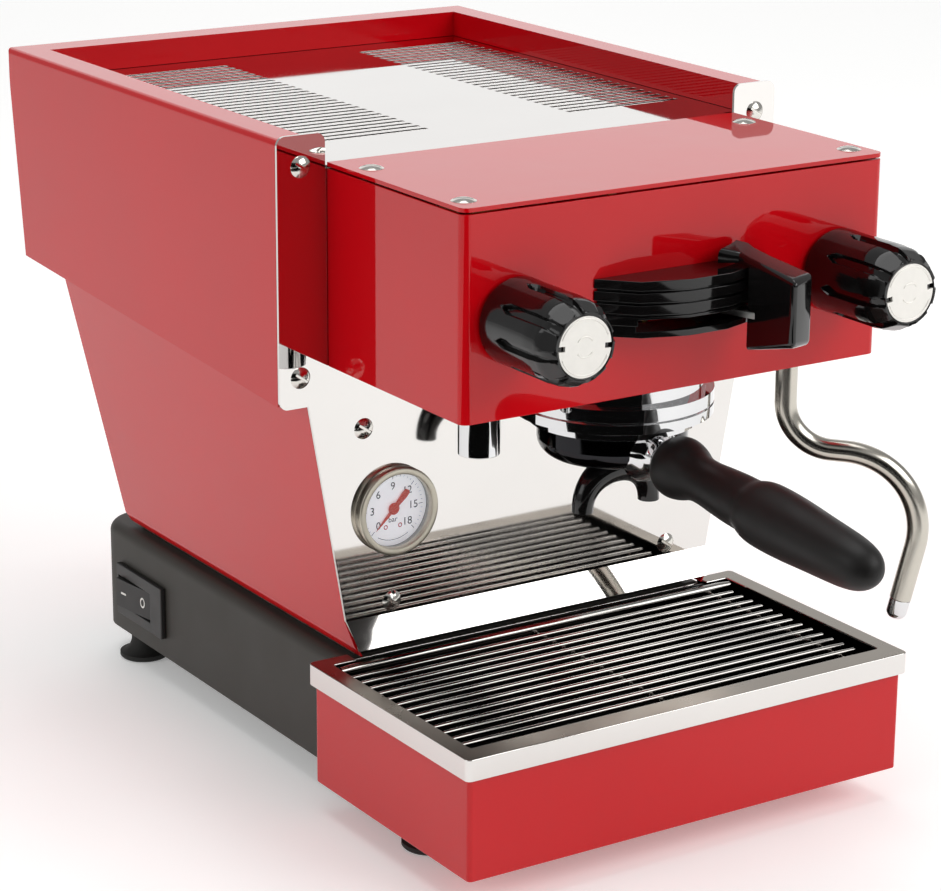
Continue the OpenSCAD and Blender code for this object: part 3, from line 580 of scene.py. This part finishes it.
def cap_rings(node):
    """Raised arcs pressed into the knob's disc."""
    low, high = lowest(node), highest(node)
    place = along(((low.x + high.x) / 2, low.y, (low.z + high.z) / 2), (0, -1, 0), (1, 0, 0))
    bm = bmesh.new()
    for radius, first, last in CAP_ARCS:
        path = arc_points(radius, first, last, 24)
        tube(path, [CAP_BEAD] * len(path), 8, (1, 0.6), (0, 0, 1), bm)
    bm.transform(place)
    built(node + "_rings", bm, [CAP], BODY_OF[node], "cap_silver")


for knob in ("steam_knob", "hot_water_knob"):
    fluted_knob(knob)
    cap_rings(knob + "_cap")


# ---------- base housing ----------

def cut_away(mesh, cutter):
    """The mesh with the cutter's space removed."""
    host, tool = (bpy.data.objects.new("cut", m) for m in (mesh, cutter))
    for one in (host, tool):
        bpy.context.scene.collection.objects.link(one)
    cut = host.modifiers.new("cut", "BOOLEAN")
    cut.object, cut.operation, cut.solver = tool, "DIFFERENCE", "EXACT"
    graph = bpy.context.evaluated_depsgraph_get()
    graph.update()
    left = bpy.data.meshes.new_from_object(host.evaluated_get(graph), depsgraph=graph)
    for one in (host, tool):
        bpy.data.objects.remove(one)
    return left


def block(low, high):
    """A plain box between two corners in mm, used as a cutter."""
    bm = bmesh.new()
    bmesh.ops.create_cube(bm, size=1)
    bm.transform(Matrix.Translation((Vector(low) + Vector(high)) / 2 * MM)
                 @ Matrix.Diagonal((*((Vector(high) - Vector(low)) * MM), 1)))
    return mesh_from("block", bm)


# radius of the base's rear corners, of its rolled upper edge, and its wall
BASE_CORNER = 20
BASE_ROLL = 6
BASE_WALL = 3


def base_plan(bm, inset, height):
    """Plan of the base at a height: square in front, rounded behind, drawn in at the sides and rear."""
    low, high = lowest("base_housing"), highest("base_housing")
    centre = Vector((high.x - BASE_CORNER, high.y - BASE_CORNER))
    radius = BASE_CORNER - inset
    right = [(high.x - inset, low.y)]
    for i in range(13):
        a = math.pi / 2 * i / 12
        right.append((centre.x + radius * math.cos(a), centre.y + radius * math.sin(a)))
    outline = right + [(-x, y) for x, y in reversed(right)]
    return [bm.verts.new((x * MM, y * MM, height * MM)) for x, y in outline]


def base_housing():
    """The pressed cover of the base: open below and in front, its upper edges rolled over."""
    low, high, wall = lowest("base_housing"), highest("base_housing"), BASE_WALL
    bm = bmesh.new()
    rings = [base_plan(bm, 0, low.z)]
    for i in range(9):
        a = math.pi / 2 * i / 8
        rings.append(base_plan(bm, BASE_ROLL * (1 - math.cos(a)), high.z - BASE_ROLL * (1 - math.sin(a))))
    for under, over in zip(rings, rings[1:]):
        for k in range(len(under)):
            j = (k + 1) % len(under)
            bm.faces.new((under[k], under[j], over[j], over[k]))
    bm.faces.new(reversed(rings[0]))
    bm.faces.new(rings[-1])
    shell = mesh_from("base_cover", bm)
    rock = pivot("switch_rock")
    inlet = (lowest("power_inlet") + highest("power_inlet")) / 2
    # the inside is two blocks, a wide one and a deep one, which leave the rounded corners their wall
    clear = BASE_CORNER + 4
    wide = ((wall - high.x, low.y - 1, low.z - 1), (high.x - wall, high.y - clear, high.z - wall))
    deep = ((clear - high.x, low.y - 1, low.z - 1), (high.x - clear, high.y - wall, high.z - wall))
    switch_hole = ((low.x - 1, rock.y - 20, rock.z - 9.8), (low.x + 8, rock.y + 20, rock.z + 9.8))
    inlet_hole = ((inlet.x - 15, high.y - 8, inlet.z - 12), (inlet.x + 15, high.y + 1, inlet.z + 12))
    for hole in (wide, deep, switch_hole, inlet_hole):
        shell = cut_away(shell, block(*hole))
    keep_edges_sharp(piece("base_cover", shell, [BASE], "machine", "black_base", "base_housing"), 30)


base_housing()


# ---------- paddle's handle ----------

# Left and right edges of the handle's plan from the housing to the tip, as X and Y from the panel,
# and its profile: Y from the panel, low and high edge.
HANDLE_LEFT = [(1, -119.5), (22, -132), (22.5, -173)]
HANDLE_RIGHT = [(26, -118.8), (34, -124), (39, -165.5)]
HANDLE_PROFILE = [(-118, 244.5, 297), (-131, 245.4, 292), (-174, 256.2, 286.5)]
HANDLE_CORNER = 2.6
# Sections of the handle: 0 at the housing, 1 at the bend, 2 at the tip, closer at the rounded ends.
HANDLE_SECTIONS = [0, 0.004, 0.02, 0.05, 0.2, 0.5, 0.9, 1, 1.1, 1.35, 1.7, 1.9, 1.95, 1.98, 1.994, 2]
# The housing's room, cut out of the handle: radius about the group's axis and height.
HOUSING_ROOM = [(0, 235), (76.4, 235), (76.4, 287.4), (62.2, 287.4), (62.2, 310), (0, 310)]


def handle_height(y, which):
    """Low (1) or high (2) edge of the handle's profile at y."""
    for rear, front in zip(HANDLE_PROFILE, HANDLE_PROFILE[1:]):
        if y >= front[0]:
            break
    part = (y - rear[0]) / (front[0] - rear[0])
    return rear[which] + part * (front[which] - rear[which])


def handle_ring(bm, left, right, inset, corner):
    """A rounded upright section between two points of the plan, in mm from the panel."""
    run = (right - left).normalized()
    first, last = inset + corner, (right - left).length - inset - corner
    ring = []
    # low left, low right, high right and high left corner
    for k, (across, which) in enumerate(((first, 1), (last, 1), (last, 2), (first, 2))):
        inwards = 1 if which == 1 else -1
        for i in range(6):
            turn = math.pi + math.pi / 2 * (k + i / 5)
            at = left + run * (across + corner * math.cos(turn))
            edge = handle_height(at.y, which) + (inset + corner) * inwards
            ring.append(bm.verts.new(Vector((at.x, at.y + PANEL, edge + corner * math.sin(turn))) * MM))
    return ring


def paddle_handle():
    """The moulded grip of the paddle, which laps over and under the housing."""
    bm = bmesh.new()
    rings = []
    edges = [[Vector(p) for p in edge] for edge in (HANDLE_LEFT, HANDLE_RIGHT)]
    for section in HANDLE_SECTIONS:
        leg = min(int(section), 1)
        left, right = (edge[leg].lerp(edge[leg + 1], section - leg) for edge in edges)
        # distance from the nearer end, where the section draws in round the corner
        gap = min(section * 12, (2 - section) * 41)
        inset = HANDLE_CORNER - math.sqrt(HANDLE_CORNER ** 2 - max(HANDLE_CORNER - gap, 0) ** 2)
        rings.append(handle_ring(bm, left, right, inset, HANDLE_CORNER - inset * 0.8))
    for low, high in zip(rings, rings[1:]):
        for k in range(len(low)):
            j = (k + 1) % len(low)
            bm.faces.new((low[k], low[j], high[j], high[k]))
    bm.faces.new(rings[0])
    bm.faces.new(rings[-1])
    whole = mesh_from("paddle_grip", bm)
    axis = Matrix.Translation(Vector((GROUP.x, GROUP.y, 0)) * MM)
    room = mesh_from("housing_room", turned(HOUSING_ROOM, 192, axis))
    made = piece("paddle_grip", cut_away(whole, room), [BLACK], "paddle", "gloss_black", "paddle_handle")
    keep_edges_sharp(made, 30)


paddle_handle()


# ---------- portafilter ----------

DROOP = math.radians(4.3)
HANDLE_LINE = Vector((0, -math.cos(DROOP), -math.sin(DROOP)))
HANDLE_START = Vector((GROUP.x, GROUP.y, 194.1))
# distance from the group's axis and radius, along the handle
GRIP_SHAPE = [(46.6, 7.5), (46.5, 9.6), (47.1, 11.4), (48.6, 13.0), (51, 14.2), (54.5, 14.9), (58, 14.7),
              (62, 13.7), (66, 12.2), (71, 11), (78, 10.85), (88, 11.6), (98, 12.25), (107, 12.5),
              (110, 12.9), (113.5, 14), (117, 14.8), (122, 15.2), (131, 15.2), (143, 14.7), (156, 13.8),
              (168, 13.05), (179, 12.2), (187, 10.8), (192, 8.7), (195.6, 5.6), (197.2, 2.6), (197.7, 0)]
# radius and depth of the hole in the grip, in which the neck's rod sits
GRIP_HOLE = [(0, 50.2), (7.35, 50.2)]
# radius and distance from the group's axis of the chrome neck between the bowl and the grip
NECK_SHAPE = [(15.5, 30.2), (14.2, 33), (11.8, 36), (9.2, 38.6), (8.1, 41), (8.0, 43), (8.9, 44.2),
              (9.7, 45), (9.7, 46.2), (9.2, 46.4)]


def handle():
    """The rubber grip and the chrome neck that it sits on, both turned about the handle's line."""
    place = along(HANDLE_START, HANDLE_LINE)
    skin = [(max(p.y, 0), p.x) for p in smooth_through(GRIP_SHAPE, 4)]
    built("grip", turned(GRIP_HOLE + skin, 96, place), [GRIP], "portafilter", "grip_rubber",
          "portafilter_handle", sharp=50)
    collar = smooth_through(NECK_SHAPE, 4)
    built("handle_neck", turned(collar, 64, place), [CHROME], "portafilter", "chrome", sharp=50)


handle()


# radius and height of the boss from which the twin spout's legs spread
BOSS_SHAPE = [(0, 172.6), (4.5, 172.6), (6.5, 174), (7.4, 176.4), (8.6, 179), (9.0, 181.4), (8.8, 182.8),
              (0, 182.8)]
# the legs' radius at their ends, and how much thicker the arch is at its crown
LEG_RADIUS = 5.5
CROWN_EXTRA = 2.2
ARCH_STEPS = 40


def spout_arch():
    """The twin spout: a boss under the bowl and two legs that curve down from it."""
    low, high = lowest("portafilter_spout"), highest("portafilter_spout")
    centre = Vector(((low.x + high.x) / 2, (low.y + high.y) / 2, low.z + 0.2))
    reach = (high.x - low.x) / 2 - LEG_RADIUS - 0.1
    path, radii = [], []
    for i in range(ARCH_STEPS + 1):
        a = math.pi * i / ARCH_STEPS
        path.append(centre + Vector((reach * math.cos(a), 0, reach * math.sin(a) ** 0.9)))
        radii.append(LEG_RADIUS + CROWN_EXTRA * math.sin(a) ** 2)
    bm = tube(path, radii, 28, (0.94, 1.0))
    boss = turned(BOSS_SHAPE, 40, Matrix.Translation(Vector((centre.x, centre.y, 0)) * MM))
    bm.from_mesh(mesh_from("boss", boss))
    built("twin_spout", bm, [BLACK], "portafilter", "gloss_black", "portafilter_spout", sharp=40)


spout_arch()


# ---------- steam wand ----------

# The wand lies in one upright plane, turned this far from the machine's right to its front.
WAND_TURN = math.radians(40)
WAND_AXIS = pivot("wand_swivel")
WAND_RADIUS = 5.45
# Down from the ball to BEND_TOP, out round the first bend, along a slope, then over the second bend
# and down to the tip, which leans back.
BEND_TOP = 201
FIRST_BEND = 24.4
SLOPE = math.radians(3.5)
SLOPE_LENGTH = 7.5
SECOND_BEND = 39
LEAN = math.radians(12.2)
LAST_LENGTH = 28


def in_wand_plane(out, up):
    """The point so far out from the ball and so high, in the wand's plane."""
    return Vector((WAND_AXIS.x + out * math.cos(WAND_TURN), WAND_AXIS.y - out * math.sin(WAND_TURN), up))


def wand_points():
    """The wand's middle line, as points in mm from the ball to the tip."""
    line = [Vector((0, z)) for z in (236.5, 225, 214, BEND_TOP)]
    for i in range(1, 21):
        a = math.pi + (math.pi / 2 - SLOPE) * i / 20
        line.append(Vector((FIRST_BEND * (1 + math.cos(a)), BEND_TOP + FIRST_BEND * math.sin(a))))
    crest = line[-1] + SLOPE_LENGTH * Vector((math.cos(SLOPE), -math.sin(SLOPE)))
    centre = crest - SECOND_BEND * Vector((math.sin(SLOPE), math.cos(SLOPE)))
    for i in range(25):
        a = math.pi / 2 - SLOPE - (math.pi / 2 - SLOPE + LEAN) * i / 24
        line.append(centre + SECOND_BEND * Vector((math.cos(a), math.sin(a))))
    end = line[-1] - LAST_LENGTH * Vector((math.sin(LEAN), math.cos(LEAN)))
    line += [(line[-1] + end) / 2, end]
    return [in_wand_plane(*p) for p in line]


# radius and distance past the tube's end of the turned nozzle
NOZZLE = [(0, 0.1), (4.9, 0.1), (5.3, 0.5), (5.3, 7.4), (5.1, 8.2), (4.3, 9.6), (3.4, 10.4), (1.0, 10.5),
          (0.9, 9.0), (0, 9.0)]


def wand():
    line = wand_points()
    side = (math.sin(WAND_TURN), math.cos(WAND_TURN), 0)
    built("bent_wand", tube(line, [WAND_RADIUS] * len(line), 40, side=side), [WAND_STEEL], "wand",
          "satin_steel", "steam_wand", sharp=50)
    built("wand_nozzle", turned(NOZZLE, 48, along(line[-1], line[-1] - line[-3])), [CHROME], "wand",
          "satin_steel", "steam_tip", sharp=40)


wand()


# ---------- drip grid ----------

# The grid's bars, counted from the rear: the first and last one's distance in front of the panel.
BARS = 14
FIRST_BAR = 20
LAST_BAR = 126.4
BAR_LENGTH = 231.4
BAR_RADIUS = 1.3
# the thick rail at the rear, and the drop from the bars to the wires below them
RAIL_AT = 9.7
RAIL_RADIUS = 2.6
WIRE_DROP = 2.35


def drip_grid():
    """The wire grid: bars along X, a thick rail behind them and three wires along Y below them."""
    low, high = lowest("drip_grid"), highest("drip_grid")
    bar_z, wire_z = high.z - RAIL_RADIUS, high.z - RAIL_RADIUS - WIRE_DROP
    first, rail_y = PANEL - FIRST_BAR, PANEL - RAIL_AT
    pitch = (LAST_BAR - FIRST_BAR) / (BARS - 1)
    # the grid's wire is painted dark as a reflection of its shaded surroundings
    bars = grid_rods("grid_bars", BARS, -pitch, (low.x, first, bar_z), (low.x + BAR_LENGTH, first, bar_z),
                     BAR_RADIUS, WIRE_PAINTED_DARK)
    rail = grid_rods("grid_rail", 1, 0, (low.x, rail_y, bar_z), (high.x, rail_y, bar_z), RAIL_RADIUS, WIRE_PAINTED_DARK)
    wires = [grid_rods("grid_wire", 1, 0, (x, low.y, wire_z), (x, high.y - 1, wire_z), BAR_RADIUS, WIRE_PAINTED_DARK)
             for x in (low.x + 1.9, -5, 105)]
    mesh = joined("wire_grid", [bars, rail, *wires])
    keep_edges_sharp(piece("wire_grid", mesh, [WIRE_PAINTED_DARK], "grid", "chrome", "drip_grid"), 60)


drip_grid()


# ---------- cup tray's slot rims ----------

def rim_tree():
    """Rolled rims of long slots, side by side along Y."""
    tree, start, end = new_tree("rims_of_slots", {
        "Count": "NodeSocketInt", "Pitch": "NodeSocketFloat", "Long": "NodeSocketFloat",
        "Wide": "NodeSocketFloat", "Bead": "NodeSocketFloat"})
    outline = add(tree, "GeometryNodeCurvePrimitiveQuadrilateral",
                  links={"Width": start.outputs["Long"], "Height": start.outputs["Wide"]})
    half = add(tree, "ShaderNodeMath", {1: 0.45}, {0: start.outputs["Wide"]}, operation="MULTIPLY")
    rounded = add(tree, "GeometryNodeFilletCurve", {"Count": 5},
                  {"Curve": outline.outputs["Curve"], "Radius": half.outputs["Value"]}, mode="POLY")
    bead = add(tree, "GeometryNodeCurvePrimitiveCircle", {"Resolution": 8},
               {"Radius": start.outputs["Bead"]})
    swept = add(tree, "GeometryNodeCurveToMesh", links={"Curve": rounded.outputs["Curve"],
                                                       "Profile Curve": bead.outputs["Curve"]})
    step = add(tree, "ShaderNodeCombineXYZ", links={"Y": start.outputs["Pitch"]})
    row = add(tree, "GeometryNodeMeshLine",
              links={"Count": start.outputs["Count"], "Offset": step.outputs["Vector"]})
    laid = add(tree, "GeometryNodeInstanceOnPoints", links={"Points": row.outputs["Mesh"],
                                                            "Instance": swept.outputs["Mesh"]})
    close_tree(tree, end, laid.outputs["Instances"], MIRROR)
    return tree


# The cup tray's slots: two fields of so many, by their ends in X, from FIRST_SLOT behind the panel.
SLOT_FIELDS = {"left": (-118, -32), "right": (52, 121)}
SLOTS = 29
FIRST_SLOT = 49
SLOT_PITCH = 7.3
SLOT_WIDTH = 3.2
RIM_BEAD = 0.12


def slot_rims():
    tree = rim_tree()
    for name, (left, right) in SLOT_FIELDS.items():
        mesh = grown(name + "_slot_rims", tree, {
            "Count": SLOTS, "Pitch": SLOT_PITCH * MM, "Long": (right - left) * MM,
            "Wide": SLOT_WIDTH * MM, "Bead": RIM_BEAD * MM})
        middle = Vector(((left + right) / 2, PANEL + FIRST_SLOT + SLOT_WIDTH / 2, highest("cup_tray").z))
        mesh.transform(Matrix.Translation(middle * MM))
        piece(name + "_slot_rims", mesh, [MIRROR], "machine", "mirror_steel")


slot_rims()


# ---------- gauge ----------

def at_gauge(depth=0):
    """Frame on the gauge's axis, so far in front of the panel, whose Z faces the reader."""
    return along((GAUGE.x, PANEL - depth, GAUGE.z), (0, -1, 0), (1, 0, 0))


def tick_tree():
    """Upright ticks round the Z axis, from one angle in even steps."""
    tree, start, end = new_tree("ticks_round_a_dial", {
        "Count": "NodeSocketInt", "First": "NodeSocketFloat", "Step": "NodeSocketFloat",
        "Radius": "NodeSocketFloat", "Size": "NodeSocketVector"})
    dots = add(tree, "GeometryNodePoints", links={"Count": start.outputs["Count"]})
    number = add(tree, "GeometryNodeInputIndex")
    turn = add(tree, "ShaderNodeMath", links={0: number.outputs[0], 1: start.outputs["Step"],
                                              2: start.outputs["First"]}, operation="MULTIPLY_ADD")
    spin = add(tree, "ShaderNodeCombineXYZ", links={"Z": turn.outputs["Value"]})
    stroke = add(tree, "GeometryNodeMeshCube", links={"Size": start.outputs["Size"]})
    out = add(tree, "ShaderNodeCombineXYZ", links={"X": start.outputs["Radius"]})
    moved = add(tree, "GeometryNodeTransform", links={"Geometry": stroke.outputs["Mesh"],
                                                      "Translation": out.outputs["Vector"]})
    laid = add(tree, "GeometryNodeInstanceOnPoints", links={"Points": dots.outputs[0],
                                                            "Instance": moved.outputs["Geometry"],
                                                            "Rotation": spin.outputs["Vector"]})
    close_tree(tree, end, laid.outputs["Instances"], INK)
    return tree


# the dial's zero as an angle from the reader's right, its last number, and how far a bar turns
ZERO_AT = 225
FULL_SCALE = 18
DEGREES_PER_BAR = 15
# ticks: how many to a bar, the radius they start at and their width; all of them end at TICK_END
TICKS = [(2, 16.0, 0.16), (1 / 3, 14.8, 0.3)]
TICK_END = 17.2
# The bezel ring's section, as radius and distance in front of the panel.
GAUGE_RING = [(20.7, 0.15), (22.2, 0.15), (22.35, 0.4), (22.35, 4.0), (22.2, 4.5), (21.8, 4.8), (21.2, 4.9),
              (19.5, 4.9), (19.0, 4.75), (18.7, 4.3), (18.65, 1.6), (20.6, 1.6), (20.7, 0.15)]
# half distance, drop below the hub, radius and line of the two small red rings on the dial
MARK_X, MARK_DROP, MARK_RADIUS, MARK_LINE = 4.1, 9.2, 0.95, 0.24


def lettering(text, size, x, y):
    """Print in mm on the gauge's face."""
    curve = bpy.data.curves.new("print", "FONT")
    curve.body, curve.size = text, size * MM
    curve.align_x, curve.align_y = "CENTER", "CENTER"
    curve.extrude, curve.resolution_u = 0.03 * MM, 4
    host = bpy.data.objects.new("print", curve)
    bpy.context.scene.collection.objects.link(host)
    graph = bpy.context.evaluated_depsgraph_get()
    graph.update()
    mesh = bpy.data.meshes.new_from_object(host.evaluated_get(graph))
    bpy.data.objects.remove(host)
    mesh.transform(Matrix.Translation(Vector((x, y, 0.04)) * MM))
    return mesh


def dial_print():
    """The dial's ticks, numbers, unit and lower arc, in mm on its face."""
    tree = tick_tree()
    meshes = []
    for per_bar, inner, wide in TICKS:
        meshes.append(grown("ticks", tree, {
            "Count": int(FULL_SCALE * per_bar) + 1, "First": math.radians(ZERO_AT),
            "Step": math.radians(-DEGREES_PER_BAR / per_bar), "Radius": (inner + TICK_END) / 2 * MM,
            "Size": Vector((TICK_END - inner, wide, 0.08)) * MM}))
    for value in range(0, FULL_SCALE + 1, 3):
        a = math.radians(ZERO_AT - DEGREES_PER_BAR * value)
        meshes.append(lettering(str(value), 5.6, 11.7 * math.cos(a), 11.2 * math.sin(a)))
    meshes.append(lettering("bar", 4.0, 0, -5.8))
    line = arc_points(16.2, 238, 302, 32, 0.02)
    meshes.append(mesh_from("dial_arc", tube(line, [0.14] * len(line), 6, (1, 0.4), (0, 0, 1))))
    return joined("dial_print", meshes)


def dial_marks():
    """The two small red rings above the dial's lower arc."""
    bm = bmesh.new()
    for x in (-MARK_X, MARK_X):
        ring = [p + Vector((x, -MARK_DROP, 0)) for p in arc_points(MARK_RADIUS, 0, 360, 24, 0.04)]
        tube(ring, [MARK_LINE] * len(ring), 6, (1, 0.4), (0, 0, 1), bm)
    return mesh_from("dial_marks", bm)


def gauge():
    built("gauge_ring", turned(GAUGE_RING, 128, at_gauge()), [BEZEL], "machine", "satin_steel",
          "gauge_bezel", sharp=38)
    on_dial = at_gauge(PANEL - lowest("gauge_dial").y)
    for mesh, ink, smooth in ((dial_print(), INK, False), (dial_marks(), RED_INK, True)):
        mesh.transform(on_dial)
        piece(mesh.name, mesh, [ink], "machine", "dial_white", smooth=smooth)
    needle()


# the needle's outline along its length, the tip first, and its hub's radius and height
NEEDLE_OUTLINE = [(14.3, 0), (9, 0.55), (2, 0.95), (-2, 1.2), (-8.6, 1.9), (-11.2, 1.6), (-11.9, 0),
                  (-11.2, -1.6), (-8.6, -1.9), (-2, -1.2), (2, -0.95), (9, -0.55)]
HUB_SHAPE = [(0, -5.2), (1.45, -5.2), (1.45, -1.0), (3.0, -1.0), (3.1, -0.6), (2.8, -0.2), (2.2, -0.02),
             (1.5, -0.1), (1.2, -0.25), (0.6, -0.12), (0, -0.08)]


def needle():
    """A thin pointer with a broad counterweight tail and a domed hub."""
    place = at_gauge(PANEL - lowest("gauge_needle").y)
    bm = bmesh.new()
    bottom = [bm.verts.new(Vector((x, y, -0.95)) * MM) for x, y in NEEDLE_OUTLINE]
    top = [bm.verts.new(Vector((x * 0.995, y * 0.9, -0.5)) * MM) for x, y in NEEDLE_OUTLINE]
    bm.faces.new(reversed(bottom))
    bm.faces.new(top)
    for k in range(len(bottom)):
        j = (k + 1) % len(bottom)
        bm.faces.new((bottom[k], bottom[j], top[j], top[k]))
    bm.transform(Matrix.Rotation(math.radians(ZERO_AT), 4, "Z"))
    bm.transform(place)
    built("needle_blade", bm, [NEEDLE], "needle", "needle_red", "gauge_needle", sharp=30)
    built("needle_hub", turned(HUB_SHAPE, 40, place), [NEEDLE], "needle", "needle_red", sharp=50)


eased("gauge_dial", 0.1)
gauge()


# ---------- switch marks ----------

# The rocker's faces slope outwards to its front and its rear: a mark stands this far out from the
# base at the rocker's middle, and so much further per mm along a half, with PRINT to clear the face.
MARK_OUT = 4.1
DASH_RISE = 1.8 / 16.2
RING_RISE = 2.4 / 16.2
PRINT = 0.02


def switch_marks():
    """The dash and the ring printed on the rocker's two halves."""
    middle = pivot("switch_rock")
    face = -highest("base_housing").x - MARK_OUT - PRINT
    bm = bmesh.new()
    dash = [Vector((face - DASH_RISE * y, middle.y + y, middle.z + 0.4)) for y in (6.6, 11.4)]
    tube(dash, [0.62, 0.62], 8, (1, 0.16), (1, 0, 0), bm)
    ring = []
    for i in range(33):
        t = 2 * math.pi * i / 32
        y = -9.2 + 1.75 * math.cos(t)
        ring.append(Vector((face - RING_RISE * y, middle.y + y, middle.z + 0.2 + 2.5 * math.sin(t))))
    tube(ring, [0.52] * len(ring), 8, (1, 0.16), (1, 0, 0), bm)
    built("switch_marks", bm, [WHITE_INK], "rocker", "gloss_black")


switch_marks()


# ---------- studio ----------

# Matt white paper roll: even and without gloss.
PAPER = finish("matt_white_paper", "#FAFAF9", 0.9, grain=3, patch=600, tint=0.004, Specular_IOR_Level=0.1,
               Emission_Color=(1, 1, 1, 1), Emission_Strength=0.24)
# Cotton velvet on card: it gives back almost nothing.
VELVET = finish("black_velvet_card", "#0A0A0A", 0.9, grain=2, patch=300, Specular_IOR_Level=0.0)
# in metres: half the floor's width, and how far it lies below the feet
FLOOR_REACH = 45
FLOOR_DROP = 0.0004


def sheet_of(name, place, card):
    """A flat square, one metre wide before its place is applied, which is no part of the object."""
    bm = bmesh.new()
    bmesh.ops.create_grid(bm, x_segments=1, y_segments=1, size=0.5)
    bm.transform(place)
    mesh = bpy.data.meshes.new(name)
    bm.to_mesh(mesh)
    bm.free()
    made = bpy.data.objects.new(name, mesh)
    bpy.context.scene.collection.objects.link(made)
    mesh.materials.append(card)
    return made


def softbox(name, place, aim, wide, high, watts):
    """A rectangular light of a size in metres, aimed at a point and unseen by the camera."""
    light = bpy.data.lights.new(name, "AREA")
    light.shape, light.size, light.size_y, light.energy = "RECTANGLE", wide, high, watts
    made = bpy.data.objects.new(name, light)
    bpy.context.scene.collection.objects.link(made)
    made.location = place
    made.rotation_euler = (Vector(aim) - Vector(place)).to_track_quat("-Z", "Y").to_euler()
    made.visible_camera = False


FLAG_TURN = math.radians(-33)


def flag(name, place, wide, deep, lean=0):
    """A black card that only reflections see, turned to the camera's view and leaning from flat."""
    turn = Matrix.Rotation(FLAG_TURN, 4, "Z") @ Matrix.Rotation(math.radians(lean), 4, "X")
    made = sheet_of(name, Matrix.Translation(place) @ turn @ Matrix.Diagonal((wide, deep, 1, 1)), VELVET)
    for ray in ("camera", "diffuse", "shadow", "transmission", "volume_scatter"):
        setattr(made, "visible_" + ray, False)


WORLD_LIGHT = 0.38


def studio():
    """The floor, the sky, four softboxes and two black cards, in metres and watts."""
    spread = Matrix.Diagonal((2 * FLOOR_REACH, 2 * FLOOR_REACH, 1, 1))
    sheet_of("studio_floor", Matrix.Translation((0, 0, -FLOOR_DROP)) @ spread, PAPER)
    world = bpy.data.worlds.new("studio")
    world.use_nodes = True
    world.node_tree.nodes["Background"].inputs["Color"].default_value = (1, 1, 1, 1)
    world.node_tree.nodes["Background"].inputs["Strength"].default_value = WORLD_LIGHT
    bpy.context.scene.world = world
    heart = (0, 0, 0.2)
    softbox("back_wall", (2.0, 3.4, 1.5), (0.2, 0, 0.3), 5.0, 2.6, 27)
    softbox("key", (1.35, -1.95, 1.75), heart, 2.4, 1.5, 36)
    softbox("left_fill", (-2.6, 0.2, 1.4), heart, 1.6, 1.4, 10)
    softbox("overhead", (0, 0.3, 3.0), heart, 2.2, 2.2, 30)
    flag("floor_flag", (-0.654, -1.007, 0.0006), 1.2, 1.4)
    flag("upright_flag", (-1.3, -1.9, 0.8), 3.2, 1.6, 90)
    bpy.context.scene.view_settings.view_transform = "Standard"


# The camera's place in metres, where it looks from in degrees, its lens in mm and its shift.
CAMERA_PLACE = (-0.81573, -1.21571, 0.61467)
CAMERA_AZIMUTH = -33.02
CAMERA_ELEVATION = 16.99
CAMERA_ROLL = 0.41
LENS_LENGTH = 116.24
LENS_SHIFT = (-0.0045, -0.0049)


def camera():
    azimuth, elevation, roll = (math.radians(v) for v in (CAMERA_AZIMUTH, CAMERA_ELEVATION, CAMERA_ROLL))
    back = Vector((math.sin(azimuth) * math.cos(elevation), -math.cos(azimuth) * math.cos(elevation),
                   math.sin(elevation)))
    level = Vector((math.cos(azimuth), math.sin(azimuth), 0))
    upright = back.cross(level)
    right = level * math.cos(roll) + upright * math.sin(roll)
    up = upright * math.cos(roll) - level * math.sin(roll)
    lens = bpy.data.cameras.new("camera")
    lens.lens, lens.sensor_width, lens.sensor_fit = LENS_LENGTH, 36, "HORIZONTAL"
    lens.shift_x, lens.shift_y = LENS_SHIFT
    lens.clip_start, lens.clip_end = 0.05, 120
    made = bpy.data.objects.new("camera", lens)
    bpy.context.scene.collection.objects.link(made)
    turn = Matrix((right, up, back)).transposed().to_4x4()
    made.matrix_world = Matrix.Translation(CAMERA_PLACE) @ turn
    bpy.context.scene.camera = made


studio()
camera()
